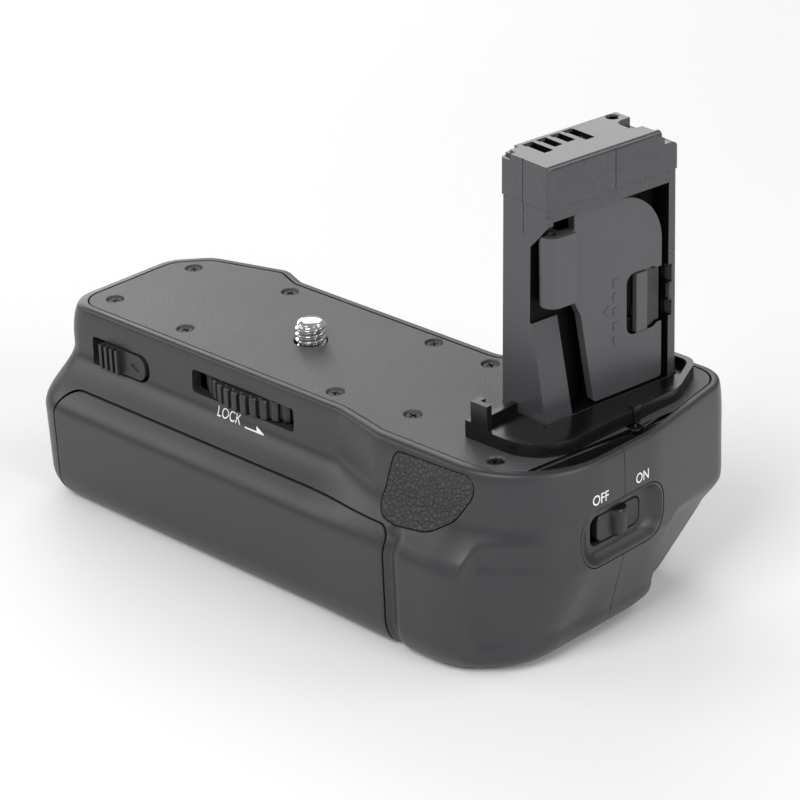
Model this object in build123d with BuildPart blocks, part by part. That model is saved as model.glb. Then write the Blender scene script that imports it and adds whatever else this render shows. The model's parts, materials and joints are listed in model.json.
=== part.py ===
from build123d import *
from collections import namedtuple
from math import cos, pi, sin, tan, radians
import os

os.makedirs("parts", exist_ok=True)

# Camera battery grip. Millimetres, +Z up, the fixing screw's axis through the top face is the origin.
# +X runs to the switch end, -Y is the thumb side with the tray and the wheel, +Y is the finger side.

# Housing
left_reach = 57.8
right_reach = 80.8
rear_reach = 29.1
front_reach = 42.6
front_low_reach = 31.0
body_height = 42.0
wall = 2.4
split_y = 3.4
gap = 0.25
step_start = 27.5
step_run = 13.0
rear_bow = 0.3
end_bend = 13.0
end_taper = 5.0
grip_start = 46.0
grip_slope = 8.5
toe_start = -23.0
toe_run = 6.5
nose_run = 6.3
nose_drop = 2.9
nose_y = 9.5
overrun = 30.0

Level = namedtuple("Level", "z left rear step right grip low toe corner_r step_r end_r bend_r front_r toe_r nose_r")
neck_z = 8.0
neck_end_z = 9.5
bulge_z = 21.5
foot_z = 35.0
rim = Level(0.0, 4.2, 9.6, 7.4, 0.5, 0.8, 11.6, 2.5, 7.0, 10.0, 20.0, 25.0, 8.0, 4.0, 8.0)
neck = Level(neck_z, 2.6, 8.7, 5.7, 0.0, 0.2, 10.6, 2.5, 6.0, 10.0, 21.0, 25.0, 8.0, 4.0, 8.0)
neck_end = neck._replace(z=neck_end_z)
bulge = Level(bulge_z, 0.0, 0.0, 0.0, 0.0, 0.0, 0.0, 0.5, 9.0, 150.0, 23.0, 25.0, 8.0, 20.0, 9.0)
foot = Level(foot_z, 0.4, 0.2, 0.2, 3.6, 1.2, 0.2, 0.5, 9.0, 150.0, 19.0, 25.0, 9.0, 20.0, 9.0)
base = Level(body_height, 5.2, 5.4, 5.4, 12.0, 7.0, 6.6, 0.5, 5.0, 150.0, 12.0, 25.0, 6.0, 20.0, 6.0)

# Top plate
rim_width = 1.3
plate_thickness = 2.2
plate_gap = 0.15
flange_thickness = 1.6
flange_width = 3.4
gutter_depth = 1.2
ledge_u = 10.5

# Fixing screw, a 1/4 inch thread, and its wheel
screw_r = 3.175
screw_stand = 4.6
screw_dome = 0.7
screw_hole_r = 3.45
screw_collar_r = 5.2
screw_collar = 1.0
screw_neck_r = 2.9
spindle_r = 2.8
running_gap = 0.05
rest_gap = 0.3
wheel_r = 21.8
wheel_top_z = 4.2
wheel_thickness = 4.4
wheel_teeth = 54
tooth_depth = 0.9
tooth_land_share = 0.55
hub_r = 6.5
bush_r = 5.0
bush_flange_r = 6.2
bush_flange = 1.0
clip_r = 4.6
clip_thickness = 0.8
window_left = 14.4
window_right = 15.2
window_top_z = 3.7
window_height = 5.1

# Middle deck
deck_top_z = 12.4
deck_thickness = 1.8
deck_left = 50.5
deck_right = 45.5
deck_rear = 15.6
deck_front = 17.4
pillar_r = 2.7
screw_shank_r = 0.85
screw_head_r = 1.6
screw_head = 0.8
screw_sink = 0.35
screw_length = 6.0
sink_r = 1.85
head_sides = 12
hidden_sides = 18

# Tray
tray_left = 49.5
tray_right = 47.5
tray_top_z = 16.0
tray_left_r = 6.0
tray_right_r = 2.5
tray_wrap_y = 14.0
tray_travel = 50.0
carriage_rear = 26.0
carriage_front = 27.1
carriage_left = 47.4
carriage_right = 47.1
carriage_height = 22.0
carriage_floor = 1.6
bay_width = 37.0
bay_length = 50.0
bay_rear = 24.4
bay_middle = 8.8
bay_depth = 15.0
carriage_foot_r = 6.0
skirt = 1.6
rail_thickness = 1.6
cage_rear = 24.2
cage_front = 25.2
contact_blade = 0.5
contact_width = 3.0

# Tripod bush
tripod_r = 2.55
tripod_depth = 4.6
tripod_end = 0.5
tripod_wall = 2.6
tripod_flange_r = 7.0
tripod_flange = 1.0

# Tray latch
latch_slot_left = 45.0
latch_slot_right = 27.6
latch_slot_z = 8.4
latch_slot_height = 6.0
latch_slot_r = 2.6
latch_slot_far_r = 0.5
latch_travel = 3.2
latch_rib_length = 6.6
latch_tongue_length = 6.4
latch_rib_stand = 1.6
latch_tongue_stand = 0.3
latch_ribs = 4
latch_clear = 0.25
latch_plate = 1.2
latch_plate_extra = 1.6
latch_hook_width = 4.0
latch_hook_x = 37.0

# Thumb pad and front pad
pad_thickness = 1.1
pad_gap = 0.3

# Rib block under the thumb pad
rib_left = 50.6
rib_right = 66.6
rib_top_z = 16.6
valley_r = 1.7
valley_depth = 0.9
dimple_r = 40.0
dimple_x = 71.0
dimple_y = 25.6
dimple_z = 22.0

# Scoop and facet at the front lower corner of the switch end
scoop_x = 79.6
scoop_y = 16.6
scoop_z = 20.0
scoop_r = 6.0
scoop_tilt_y_share = 0.3
scoop_tilt_z_share = 0.433
facet_x = 64.0
facet_y = 36.2
facet_z = 36.5
facet_down_share = 0.98
button_x = 57.5

# Switch
bezel_y = 3.35
bezel_z = 16.1
bezel_width = 24.2
bezel_height = 12.6
bezel_r = 5.4
bezel_depth = 2.3
bezel_back = 1.4
bezel_face_x = 80.6
slot_width = 14.4
slot_height = 6.2
slot_r = 1.8
knob_width = 12.2
knob_travel = 1.8
knob_ridge = 4.0
knob_ridge_stand = 1.7
knob_plate = 1.4
switch_depth = 5.0
board_thickness = 1.6

# Shutter button
button_r = 3.6
button_stand = 1.2
button_travel = 1.0
button_neck = 2.6
button_flange_r = 4.1
button_flange = 1.2
collar_r = 5.2
collar_depth = 2.4
button_boss_r = 6.3
button_boss_depth = 11.0
button_spring_length = 3.0
push_switch_height = 2.6
button_stem_r = 1.1

# Stalk, turned a little about Z
stalk_turn = -6.87
stalk_x = 64.0
stalk_width = 34.2
stalk_thickness = 13.2
stalk_near_draft = 1.3
stalk_far_draft = 0.3
stalk_seam_z = 44.2
stalk_top_z = 52.9
stalk_wall = 1.8
stalk_r = 0.8
base_floor = 1.0
curb_height = 2.8
curb_width = 1.4
curb_left = 54.4
curb_rear = 12.3
curb_right = 74.2
curb_front = 26.6
curb_r = 10.0
post_height = 8.0
post_left = 55.9
post_width = 4.2
post_leg = 2.8
small_post_height = 3.4
small_post_y = 12.9
small_post_width = 2.0
small_post_reach = 0.9
low_post_height = 3.6
opening_near = 1.0
opening_far = 31.8
opening_top_z = 41.9
wedge_width = 7.1
wedge_top_z = 20.5
wedge_set = 4.3
knuckle_bottom_z = 24.4
knuckle_top_z = 39.6
knuckle_stand = 0.9
knuckle_reach = 5.4
cap_proud = 0.2
cap_step = 2.2
cap_step_v = 30.2
cap_corner_r = 2.4
contact_slots = 4
contact_slot_width = 1.9
contact_slot_length = 5.2
contact_slot_pitch = 3.95
contact_slot_first = 5.4
contact_slot_depth = 3.0

# Stored door
door_set = 0.6
door_thickness = 1.8
door_near = 7.6
door_far = 30.6
door_arc_r = 11.6
door_foot_near = 12.8
door_low_near = 9.6
door_low_z = 20.6
door_bottom_z = 1.4
door_gap = 0.3
latch_pocket_near = 21.4
latch_pocket_far = 29.8
latch_pocket_low_z = 12.6
latch_pocket_high_z = 25.4
latch_pocket_r = 2.0
latch_pocket_depth = 1.1
door_latch_travel = 2.0
door_latch_width = 2.8


def blend(a, b, height_share, inset_share):
    """One level between two: its height by one share and all its insets by the other."""
    mixed = [p + (q - p) * inset_share for p, q in zip(a, b)]
    mixed[0] = a.z + (b.z - a.z) * height_share
    return Level(*mixed)


def body_levels():
    """Levels from the rim to the base: a plain neck, a flare like a cosine and a rounded foot."""
    levels = [rim, neck]
    for k in range(4):
        levels.append(blend(neck_end, bulge, k / 4, (1 - cos(pi * k / 4)) / 2))
    levels.append(bulge)
    levels.append(foot)
    for k in range(1, 3):
        turn = pi / 2 * k / 2
        levels.append(blend(foot, base, sin(turn), 1 - cos(turn)))
    return levels


def corners(level):
    """Corner points and radii of the housing's outline at one level, anticlockwise."""
    left = -left_reach + level.left
    right = right_reach - level.right
    rear = -rear_reach + level.rear
    rear_right = -rear_reach + level.step
    grip = front_reach - level.grip
    low = front_low_reach - level.low
    return [
        ((left, rear), level.corner_r),
        ((step_start, rear + rear_bow), level.step_r),
        ((step_start + step_run, rear_right), level.step_r),
        ((right, rear_right + rear_bow), level.end_r),
        ((right, end_bend), level.bend_r),
        ((right - end_taper, grip), level.front_r),
        ((grip_start, grip), level.front_r),
        ((grip_start - grip_slope, low), level.front_r),
        ((toe_start, low), level.toe_r),
        ((toe_start - toe_run, low + level.toe), level.toe_r),
        ((left + nose_run, low - nose_drop), level.nose_r),
        ((left, nose_y), level.nose_r),
    ]


def outline(level, inset):
    """The rounded outline of one level, moved inwards by inset, as an edge list in its own plane."""
    points = corners(level)
    count = len(points)
    moved = []
    for i in range(count):
        here = Vector(*points[i][0])
        before = Vector(*points[i - 1][0])
        after = Vector(*points[(i + 1) % count][0])
        way_in = (here - before).normalized()
        way_out = (after - here).normalized()
        normal_in = Vector(-way_in.Y, way_in.X)
        normal_out = Vector(-way_out.Y, way_out.X)
        shift = (normal_in + normal_out) * (inset / (1 + normal_in.dot(normal_out)))
        convex = way_in.X * way_out.Y - way_in.Y * way_out.X > 0
        radius = points[i][1] - inset if convex else points[i][1] + inset
        moved.append((here + shift, radius))
    edges = []
    starts = []
    ends = []
    for i in range(count):
        here, radius = moved[i]
        way_in = (here - moved[i - 1][0]).normalized()
        way_out = (moved[(i + 1) % count][0] - here).normalized()
        half = way_in.get_angle(way_out) / 2
        reach = radius * tan(radians(half))
        starts.append(here - way_in * reach)
        ends.append(here + way_out * reach)
        bisector = (way_out - way_in).normalized()
        sagitta = radius / cos(radians(half)) - radius
        middle = here + bisector * sagitta
        edges.append(("arc", starts[i], middle, ends[i]))
    return edges


def draw_outline(level, inset):
    """Draws the outline's arcs and lines inside a BuildLine block."""
    arcs = outline(level, inset)
    for i in range(len(arcs)):
        following = arcs[(i + 1) % len(arcs)]
        ThreePointArc(arcs[i][1], arcs[i][2], arcs[i][3])
        Line(arcs[i][3], following[1])


def body_solid(inset):
    """The housing's solid form, moved inwards by inset on its sides and its base."""
    with BuildPart() as form:
        for level in body_levels():
            height = -level.z + (inset * level.z / body_height if inset else 0)
            with BuildSketch(Plane.XY.offset(height)):
                with BuildLine():
                    draw_outline(level, inset)
                make_face()
        loft(ruled=True)
    return form.part


def block(left, right, rear, front, low, high):
    """A box between six coordinates."""
    corner = (Align.MIN, Align.MIN, Align.MIN)
    solid = Box(right - left, front - rear, high - low, align=corner, mode=Mode.PRIVATE)
    return Pos(left, rear, low) * solid


def rod(x, y, low, high, radius):
    """An upright cylinder."""
    standing = (Align.CENTER, Align.CENTER, Align.MIN)
    solid = Cylinder(radius, high - low, align=standing, mode=Mode.PRIVATE)
    return Pos(x, y, low) * solid


def peg(x, y, low, high, radius, sides=8):
    """An upright prism with flat sides, for small screws and what they sit in."""
    with BuildPart() as standing:
        with BuildSketch(Plane.XY.offset(low)):
            with Locations((x, y)):
                RegularPolygon(radius, sides)
        extrude(amount=high - low)
    return standing.part


def slab(level, inset, low, high):
    """A plate with the housing's outline at one level, moved inwards by inset."""
    with BuildPart() as plate:
        with BuildSketch(Plane.XY.offset(low)):
            with BuildLine():
                draw_outline(level, inset)
            make_face()
        extrude(amount=high - low)
    return plate.part


def rear_prism(points, radii, from_y, to_y):
    """A prism along Y with a rounded outline given in X and Z."""
    with BuildPart() as prism:
        with BuildSketch(Plane.XZ.offset(-from_y)):
            with BuildLine():
                FilletPolyline(*points, radius=radii, close=True)
            make_face()
        extrude(amount=from_y - to_y)
    return prism.part


def end_prism(width, height, radius, from_x, to_x, y, z):
    """A rounded rectangle in Y and Z, extruded along X."""
    with BuildPart() as prism:
        with BuildSketch(Plane.YZ.offset(from_x)):
            with Locations((y, z)):
                RectangleRounded(width, height, radius)
        extrude(amount=to_x - from_x)
    return prism.part


stalk_frame = Location((stalk_x, 0, 0), (0, 0, stalk_turn))
stalk_draft = stalk_near_draft / stalk_top_z
stalk_far_slope = stalk_far_draft / stalk_top_z


def stalk_form(inset, low, high):
    """The stalk's drafted form between two heights, moved inwards by inset."""
    with BuildPart() as form:
        for height in (low, high):
            near = stalk_draft * height + inset
            far = stalk_width - stalk_far_slope * height - inset
            across = stalk_thickness - 2 * inset
            with BuildSketch(Plane.XY.offset(height)):
                with Locations((-stalk_thickness / 2, (near + far) / 2)):
                    RectangleRounded(across, far - near, stalk_r)
        loft(ruled=True)
    return form.part


def door_prism(points, radii, from_u, to_u):
    """A prism across the stalk with a rounded outline given along V and Z."""
    with BuildPart() as prism:
        with BuildSketch(Plane.YZ.offset(from_u)):
            with BuildLine():
                FilletPolyline(*points, radius=radii, close=True)
            make_face()
        extrude(amount=to_u - from_u)
    return prism.part


# Forms used by several pieces
far = 4 * right_reach
end_x = right_reach


def scoop_cutter(inset):
    """What the scoop takes off the switch end: a leaning face inside a rounded corner."""
    x = scoop_x - inset
    y = scoop_y - inset
    z = -scoop_z + inset
    lean_y = scoop_tilt_y_share * (far - y)
    lean_z = scoop_tilt_z_share * (far + z)
    with BuildPart() as cutter:
        with BuildSketch(Plane.YZ.offset(x - lean_y - lean_z)):
            with BuildLine():
                points = [(y, z), (y, -far), (far, -far), (far, z)]
                FilletPolyline(*points, radius=[scoop_r, 0, 0, 0], close=True)
            make_face()
        extrude(amount=lean_y + lean_z + overrun)
    wedge_normal = Vector(1, scoop_tilt_y_share, -scoop_tilt_z_share).normalized()
    keep = Plane(origin=(x, y, z), z_dir=wedge_normal)
    keeper = keep.location * Box(
        4 * far, 4 * far, 4 * far, align=(Align.CENTER, Align.CENTER, Align.MIN), mode=Mode.PRIVATE
    )
    return cutter.part & keeper


facet_normal = Vector(0, 1, -facet_down_share).normalized()
facet_plane = Plane(origin=(facet_x, facet_y, -facet_z), x_dir=(1, 0, 0), z_dir=facet_normal)
button_plane = Plane(origin=(button_x, facet_y, -facet_z), x_dir=(1, 0, 0), z_dir=facet_normal)


def facet_cutter(inset):
    """What the shutter button's flat takes off the lower front edge."""
    lower = facet_plane.offset(-inset)
    half = facet_x - grip_start + inset
    return lower.location * Box(
        2 * half, overrun * 2, overrun, align=(Align.CENTER, Align.CENTER, Align.MIN), mode=Mode.PRIVATE
    )


def dimple_cutter(inset):
    """The thumb's dimple beside the rib."""
    ball = Sphere(dimple_r + inset, mode=Mode.PRIVATE)
    placed = Pos(dimple_x, -dimple_y - dimple_r, -dimple_z) * ball
    return placed & block(rib_right - inset, far, -far, 0, -far, far)


outer = body_solid(0.0) - scoop_cutter(0.0) - facet_cutter(0.0) - dimple_cutter(0.0)
inner_full = body_solid(wall)
inner = inner_full - scoop_cutter(wall) - facet_cutter(wall) - dimple_cutter(wall)
skin = outer - inner
middle = body_solid(pad_thickness)
pad_skin = outer - middle

screws_left = [
    (-46.6, -12.3),
    (-46.1, 9.8),
    (-23.9, -12.9),
    (-20.9, 14.3),
    (21.3, -14.1),
    (20.2, 15.2),
    (35.8, 15.1),
    (39.9, -11.5),
]
screws_right = [(65.4, -15.7), (75.4, 12.6)]
head_top_z = -screw_sink
head_low_z = head_top_z - screw_head
shank_low_z = head_low_z - screw_length
pilot_r = screw_shank_r + running_gap
hole_r = screw_shank_r + gap
shelf_z = -plate_thickness

# Tray opening
tray_points = [(-tray_left, -tray_top_z), (-tray_left, -far), (tray_right, -far), (tray_right, -tray_top_z)]
tray_radii = [tray_left_r, 0, 0, tray_right_r]
tray_hole = rear_prism(tray_points, tray_radii, split_y, -far)
base_strip = block(-tray_left, tray_right, -tray_wrap_y, split_y, -far, -foot_z)
in_left = -tray_left + gap
in_right = tray_right - gap
in_top = -tray_top_z - gap
panel_points = [(in_left, in_top), (in_left, -far), (in_right, -far), (in_right, in_top)]
panel_cut = rear_prism(panel_points, tray_radii, -tray_wrap_y - gap, -far)

# Thumb pad and front pad outlines, in X and Z
pad_points = [
    (46.0, -1.6),
    (66.0, -1.2),
    (65.4, -5.6),
    (61.6, -11.2),
    (56.6, -14.6),
    (48.6, -15.5),
    (42.4, -14.6),
]
pad_radii = [2.0, 2.6, 4.0, 6.0, 8.0, 3.0, 3.0]
pad_prism = rear_prism(pad_points, pad_radii, -split_y - wall, -far)
front_pad_left = 47.0
front_pad_right = 72.0
front_pad_top_z = 5.0
front_pad_low_z = 26.0
front_pad_r = 5.0
front_pad_points = [
    (front_pad_left, -front_pad_top_z),
    (front_pad_left, -front_pad_low_z),
    (front_pad_right, -front_pad_low_z),
    (front_pad_right, -front_pad_top_z),
]
front_pad_prism = rear_prism(front_pad_points, [front_pad_r] * 4, far, front_low_reach)

# Wheel windows, latch slot and switch seat
window_high = -window_top_z
window_low = window_high - window_height
latch_low = -latch_slot_z - latch_slot_height / 2
latch_high = latch_low + latch_slot_height
latch_points = [
    (-latch_slot_left, latch_high),
    (-latch_slot_left, latch_low),
    (-latch_slot_right, latch_low),
    (-latch_slot_right, latch_high),
]
latch_radii = [latch_slot_far_r, latch_slot_far_r, latch_slot_r, latch_slot_r]
latch_slot = rear_prism(latch_points, latch_radii, -split_y - wall, -far)
bezel_seat_x = bezel_face_x - bezel_depth - bezel_back
seat = end_prism(
    bezel_width + 2 * gap, bezel_height + 2 * gap, bezel_r + gap,
    bezel_seat_x - wall, end_x + overrun, bezel_y, -bezel_z,
)

# Shutter button seat on the facet
button_hole = button_plane.location * Cylinder(
    collar_r + gap, button_boss_depth, align=(Align.CENTER, Align.CENTER, Align.CENTER), mode=Mode.PRIVATE
)

flange_low = shelf_z - flange_thickness
flange_ring = slab(rim, rim_width + plate_gap, flange_low, shelf_z) - slab(rim, flange_width, flange_low, shelf_z)
plate_seat = slab(rim, rim_width, shelf_z, overrun)
boss_low_z = -bezel_z + bezel_height / 2 + wall
rib_low_z = -body_height + wall
board_x = 66.4
board_rear = 14.0
board_front = 20.0
board_low_z = 34.0
board_top_z = 8.6
board_rib = 2.4
board_rib_half = 2.2


def board_rib_at(from_y, to_y):
    """An upright rib on the base that holds one edge of the circuit board."""
    left = board_x - board_rib_half
    right = board_x + board_thickness + board_rib_half
    return block(left, right, from_y, to_y, rib_low_z - wall / 2, -board_top_z - board_rib)


board_slot = block(
    board_x - running_gap, board_x + board_thickness + running_gap,
    -board_rear - running_gap, board_front + running_gap, -board_low_z, 0,
)
base_screws_at = [(51.5, -8.0), (51.5, 14.0)]

with BuildPart() as rear_shell:
    add(skin & block(-far, far, -far, split_y, -far, far))
    add(flange_ring & block(-far, far, -far, split_y, -far, far))
    add(plate_seat, mode=Mode.SUBTRACT)
    add(peg(*screws_right[0], -bezel_z, shelf_z, pillar_r))
    add(board_rib_at(-board_rear - board_rib, -board_rear + board_rib) & inner_full)
    add(board_slot, mode=Mode.SUBTRACT)
    add(tray_hole, mode=Mode.SUBTRACT)
    add(latch_slot, mode=Mode.SUBTRACT)
    add(block(-window_left, window_right, -far, 0, window_low, window_high), mode=Mode.SUBTRACT)
    add(seat, mode=Mode.SUBTRACT)
    add(pad_prism & pad_skin, mode=Mode.SUBTRACT)
    valley_x = (tray_right + rib_left) / 2
    valley_y = -rear_reach + valley_depth - valley_r
    add(rod(valley_x, valley_y, -far, -rib_top_z, valley_r), mode=Mode.SUBTRACT)
    for spot in screws_left:
        add(peg(*spot, -neck_z, shelf_z, pillar_r + gap), mode=Mode.SUBTRACT)
    add(peg(*screws_right[0], shank_low_z, shelf_z, pilot_r), mode=Mode.SUBTRACT)
    for spot in base_screws_at[:1]:
        add(peg(*spot, -body_height, rib_low_z, hole_r), mode=Mode.SUBTRACT)
        add(peg(*spot, -body_height, -body_height + screw_sink + screw_head, sink_r, head_sides), mode=Mode.SUBTRACT)
rear_shell.part.label = "rear_shell"
export_step(rear_shell.part, "parts/rear_shell.step")

with BuildPart() as front_shell:
    add(skin & block(-far, far, split_y, far, -far, far))
    add(skin & base_strip)
    add(flange_ring & block(-far, far, split_y, far, -far, far))
    add(plate_seat, mode=Mode.SUBTRACT)
    add(peg(*screws_right[1], boss_low_z, shelf_z, pillar_r))
    add(board_rib_at(board_front - board_rib, board_front + board_rib) & inner_full)
    add(board_slot, mode=Mode.SUBTRACT)
    add(block(-window_left, window_right, 0, far, window_low, window_high), mode=Mode.SUBTRACT)
    add(seat, mode=Mode.SUBTRACT)
    add(front_pad_prism & pad_skin, mode=Mode.SUBTRACT)
    add(button_hole, mode=Mode.SUBTRACT)
    for spot in screws_left:
        add(peg(*spot, -neck_z, shelf_z, pillar_r + gap), mode=Mode.SUBTRACT)
    add(peg(*screws_right[1], shank_low_z, shelf_z, pilot_r), mode=Mode.SUBTRACT)
    for spot in base_screws_at[1:]:
        add(peg(*spot, -body_height, rib_low_z, hole_r), mode=Mode.SUBTRACT)
        add(peg(*spot, -body_height, -body_height + screw_sink + screw_head, sink_r, head_sides), mode=Mode.SUBTRACT)
    add(peg(0, 0, -body_height, rib_low_z, tripod_r + tripod_wall, hidden_sides), mode=Mode.SUBTRACT)
front_shell.part.label = "front_shell"
export_step(front_shell.part, "parts/front_shell.step")

with BuildPart() as tray_panel:
    add(skin & panel_cut)
tray_panel.part.label = "tray_panel"
export_step(tray_panel.part, "parts/tray_panel.step")

with BuildPart() as thumb_pad:
    add(pad_skin & pad_prism & block(pad_points[0][0] - overrun, far, -far, 0, -far, -rim_width))
thumb_pad.part.label = "thumb_pad"
export_step(thumb_pad.part, "parts/thumb_pad.step")

with BuildPart() as front_grip:
    add(pad_skin & front_pad_prism)
front_grip.part.label = "front_grip"
export_step(front_grip.part, "parts/front_grip.step")
# Top plate and its screws
with BuildPart() as top_plate:
    add(slab(rim, rim_width + plate_gap, shelf_z, 0))
    add(stalk_frame * block(ledge_u, far, -far, far, -gutter_depth, far), mode=Mode.SUBTRACT)
    add(rod(0, 0, -far, far, screw_hole_r), mode=Mode.SUBTRACT)
    for spot in screws_left + screws_right:
        add(peg(*spot, -far, far, hole_r), mode=Mode.SUBTRACT)
        add(peg(*spot, head_low_z, far, sink_r, head_sides), mode=Mode.SUBTRACT)
    wire_u = stalk_thickness - stalk_wall
    wire_v = stalk_width - 2 * stalk_wall
    add(stalk_frame * block(-wire_u, -wire_u / 2, 2 * stalk_wall, wire_v, -far, far), mode=Mode.SUBTRACT)
top_plate.part.label = "top_plate"
export_step(top_plate.part, "parts/top_plate.step")

with BuildPart() as top_screws:
    for spot in screws_left + screws_right:
        add(peg(*spot, head_low_z, head_top_z, screw_head_r, head_sides))
        add(peg(*spot, shank_low_z, head_low_z, screw_shank_r))
top_screws.part.label = "top_screws"
export_step(top_screws.part, "parts/top_screws.step")

with BuildPart() as base_screws:
    for spot in base_screws_at:
        add(peg(*spot, -body_height + screw_sink, -body_height + screw_sink + screw_head, screw_head_r, head_sides))
        add(peg(*spot, -body_height + screw_sink + screw_head, rib_low_z + screw_length, screw_shank_r))
base_screws.part.label = "base_screws"
export_step(base_screws.part, "parts/base_screws.step")

# Deck, wheel and fixing screw
deck_low_z = -deck_top_z - deck_thickness
carriage_top_z = body_height - carriage_height
cage_roof_low = -carriage_top_z + rest_gap
cage_roof_high = cage_roof_low + rail_thickness
hangers = [screws_left[0], screws_left[1], screws_left[6], screws_left[7]]
with BuildPart() as deck:
    deck_area = block(-deck_left, deck_right, -deck_rear, deck_front, -far, far)
    add(slab(neck, wall + rest_gap, deck_low_z, -deck_top_z) & deck_area)
    for spot in screws_left:
        add(peg(*spot, -deck_top_z, shelf_z, pillar_r))
    for spot in hangers:
        add(peg(*spot, cage_roof_high, deck_low_z, pillar_r))
    for spot in screws_left:
        add(peg(*spot, shank_low_z, shelf_z, pilot_r), mode=Mode.SUBTRACT)
    add(peg(0, 0, deck_low_z, -deck_top_z, bush_r, hidden_sides), mode=Mode.SUBTRACT)
deck.part.label = "deck"
export_step(deck.part, "parts/deck.step")

wheel_low_z = -wheel_top_z - wheel_thickness
hub_top_z = shelf_z - rest_gap - screw_collar
hub_low_z = wheel_low_z - rest_gap - running_gap
bush_top_z = hub_low_z - rest_gap
bore_r = spindle_r + running_gap
clip_high_z = deck_low_z - rest_gap
clip_low_z = clip_high_z - clip_thickness
with BuildPart() as lock_wheel:
    tooth_gap = 2 * wheel_r * sin(pi / wheel_teeth) * (1 - tooth_land_share)
    with BuildSketch(Plane.XY.offset(wheel_low_z)):
        Circle(wheel_r)
        with PolarLocations(wheel_r, wheel_teeth):
            Rectangle(2 * tooth_depth, tooth_gap, mode=Mode.SUBTRACT)
    extrude(amount=wheel_thickness)
    add(peg(0, 0, hub_low_z, hub_top_z, hub_r, hidden_sides))
    add(rod(0, 0, -far, far, spindle_r), mode=Mode.SUBTRACT)
lock_wheel.part.label = "lock_wheel"
export_step(lock_wheel.part, "parts/lock_wheel.step")

with BuildPart() as camera_screw:
    with BuildSketch(Plane.XZ):
        with BuildLine():
            spindle_low_z = clip_low_z - clip_thickness
            Polyline(
                (0, screw_stand), (0, spindle_low_z), (spindle_r, spindle_low_z), (spindle_r, hub_top_z),
                (screw_collar_r, hub_top_z), (screw_collar_r, hub_top_z + screw_collar),
                (screw_neck_r, hub_top_z + screw_collar), (screw_neck_r, 0), (screw_r, 0),
                (screw_r, screw_stand - screw_dome), (screw_r - screw_dome, screw_stand), close=True,
            )
        make_face()
    revolve(axis=Axis.Z)
camera_screw.part.label = "camera_screw"
export_step(camera_screw.part, "parts/camera_screw.step")

with BuildPart() as wheel_clip:
    add(peg(0, 0, clip_low_z, clip_high_z, clip_r, hidden_sides))
    add(rod(0, 0, -far, far, spindle_r), mode=Mode.SUBTRACT)
wheel_clip.part.label = "wheel_clip"
export_step(wheel_clip.part, "parts/wheel_clip.step")

with BuildPart() as wheel_bush:
    add(peg(0, 0, deck_low_z, bush_top_z, bush_r, hidden_sides))
    add(peg(0, 0, -deck_top_z, -deck_top_z + bush_flange, bush_flange_r, hidden_sides))
    add(rod(0, 0, -far, far, bore_r), mode=Mode.SUBTRACT)
wheel_bush.part.label = "wheel_bush"
export_step(wheel_bush.part, "parts/wheel_bush.step")

# Battery tray and the cage that it runs in
carriage_low_z = -body_height + wall + rest_gap
bay_floor_z = -carriage_top_z - bay_depth
bay_front = bay_length - bay_rear


def run_prism(rear, front, low, high, left, right):
    """A prism along X whose lower edges have the base's rounding."""
    with BuildPart() as prism:
        with BuildSketch(Plane.YZ.offset(left)):
            with BuildLine():
                points = [(rear, high), (rear, low), (front, low), (front, high)]
                FilletPolyline(*points, radius=[0, carriage_foot_r, carriage_foot_r, 0], close=True)
            make_face()
        extrude(amount=right - left)
    return prism.part


room = body_solid(wall + rest_gap)
with BuildPart() as battery_tray:
    bar = run_prism(
        -carriage_rear, carriage_front, carriage_low_z, -carriage_top_z, -carriage_left, carriage_right
    )
    add(bar & room)
    for side in (-1, 1):
        middle_x = side * (bay_middle + bay_width) / 2
        add(
            block(
                middle_x - bay_width / 2, middle_x + bay_width / 2, -bay_rear, bay_front, bay_floor_z, far
            ),
            mode=Mode.SUBTRACT,
        )
        pad_x = side * bay_width
        seat_block = block(
            pad_x - bay_middle / 2, pad_x + bay_middle / 2,
            -rear_reach, -bay_rear - skirt / 2, bay_floor_z, -carriage_top_z - skirt,
        )
        add(seat_block & inner_full)
    add(
        block(
            -carriage_left + skirt, carriage_right - skirt, -bay_rear, far,
            -far, bay_floor_z - carriage_floor,
        ),
        mode=Mode.SUBTRACT,
    )
battery_tray.part.label = "battery_tray"
export_step(battery_tray.part, "parts/battery_tray.step")

with BuildPart() as tray_contacts:
    for side in (-1, 1):
        for place_share in (-0.25, 0.25):
            contact_x = side * (bay_middle + bay_width) / 2 + place_share * bay_width
            contact_low = bay_floor_z + contact_width
            contact_high = -carriage_top_z - contact_width
            add(
                block(
                    contact_x - contact_width / 2, contact_x + contact_width / 2,
                    bay_front - contact_blade, bay_front, contact_low, contact_high,
                )
            )
tray_contacts.part.label = "tray_contacts"
export_step(tray_contacts.part, "parts/tray_contacts.step")

with BuildPart() as tray_cage:
    cage_left = -carriage_left - rest_gap
    cage_right = carriage_right + rest_gap
    hood = run_prism(
        -cage_rear, cage_front, carriage_low_z, cage_roof_high, cage_left - rail_thickness,
        cage_right + rail_thickness,
    )
    add(hood & room)
    add(block(cage_left, cage_right, -far, far, -far, cage_roof_low), mode=Mode.SUBTRACT)
    for spot in base_screws_at:
        add(peg(*spot, rib_low_z, rib_low_z + screw_length, pillar_r))
        add(peg(*spot, rib_low_z, rib_low_z + screw_length, pilot_r), mode=Mode.SUBTRACT)
    leg_left = -latch_hook_x - latch_hook_width / 2
    leg_right = leg_left + latch_hook_width
    notch_left = leg_left - latch_travel - rest_gap
    notch_right = leg_right + rest_gap
    add(block(notch_left, notch_right, -far, -deck_rear, -far, far), mode=Mode.SUBTRACT)
tray_cage.part.label = "tray_cage"
export_step(tray_cage.part, "parts/tray_cage.step")

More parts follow.
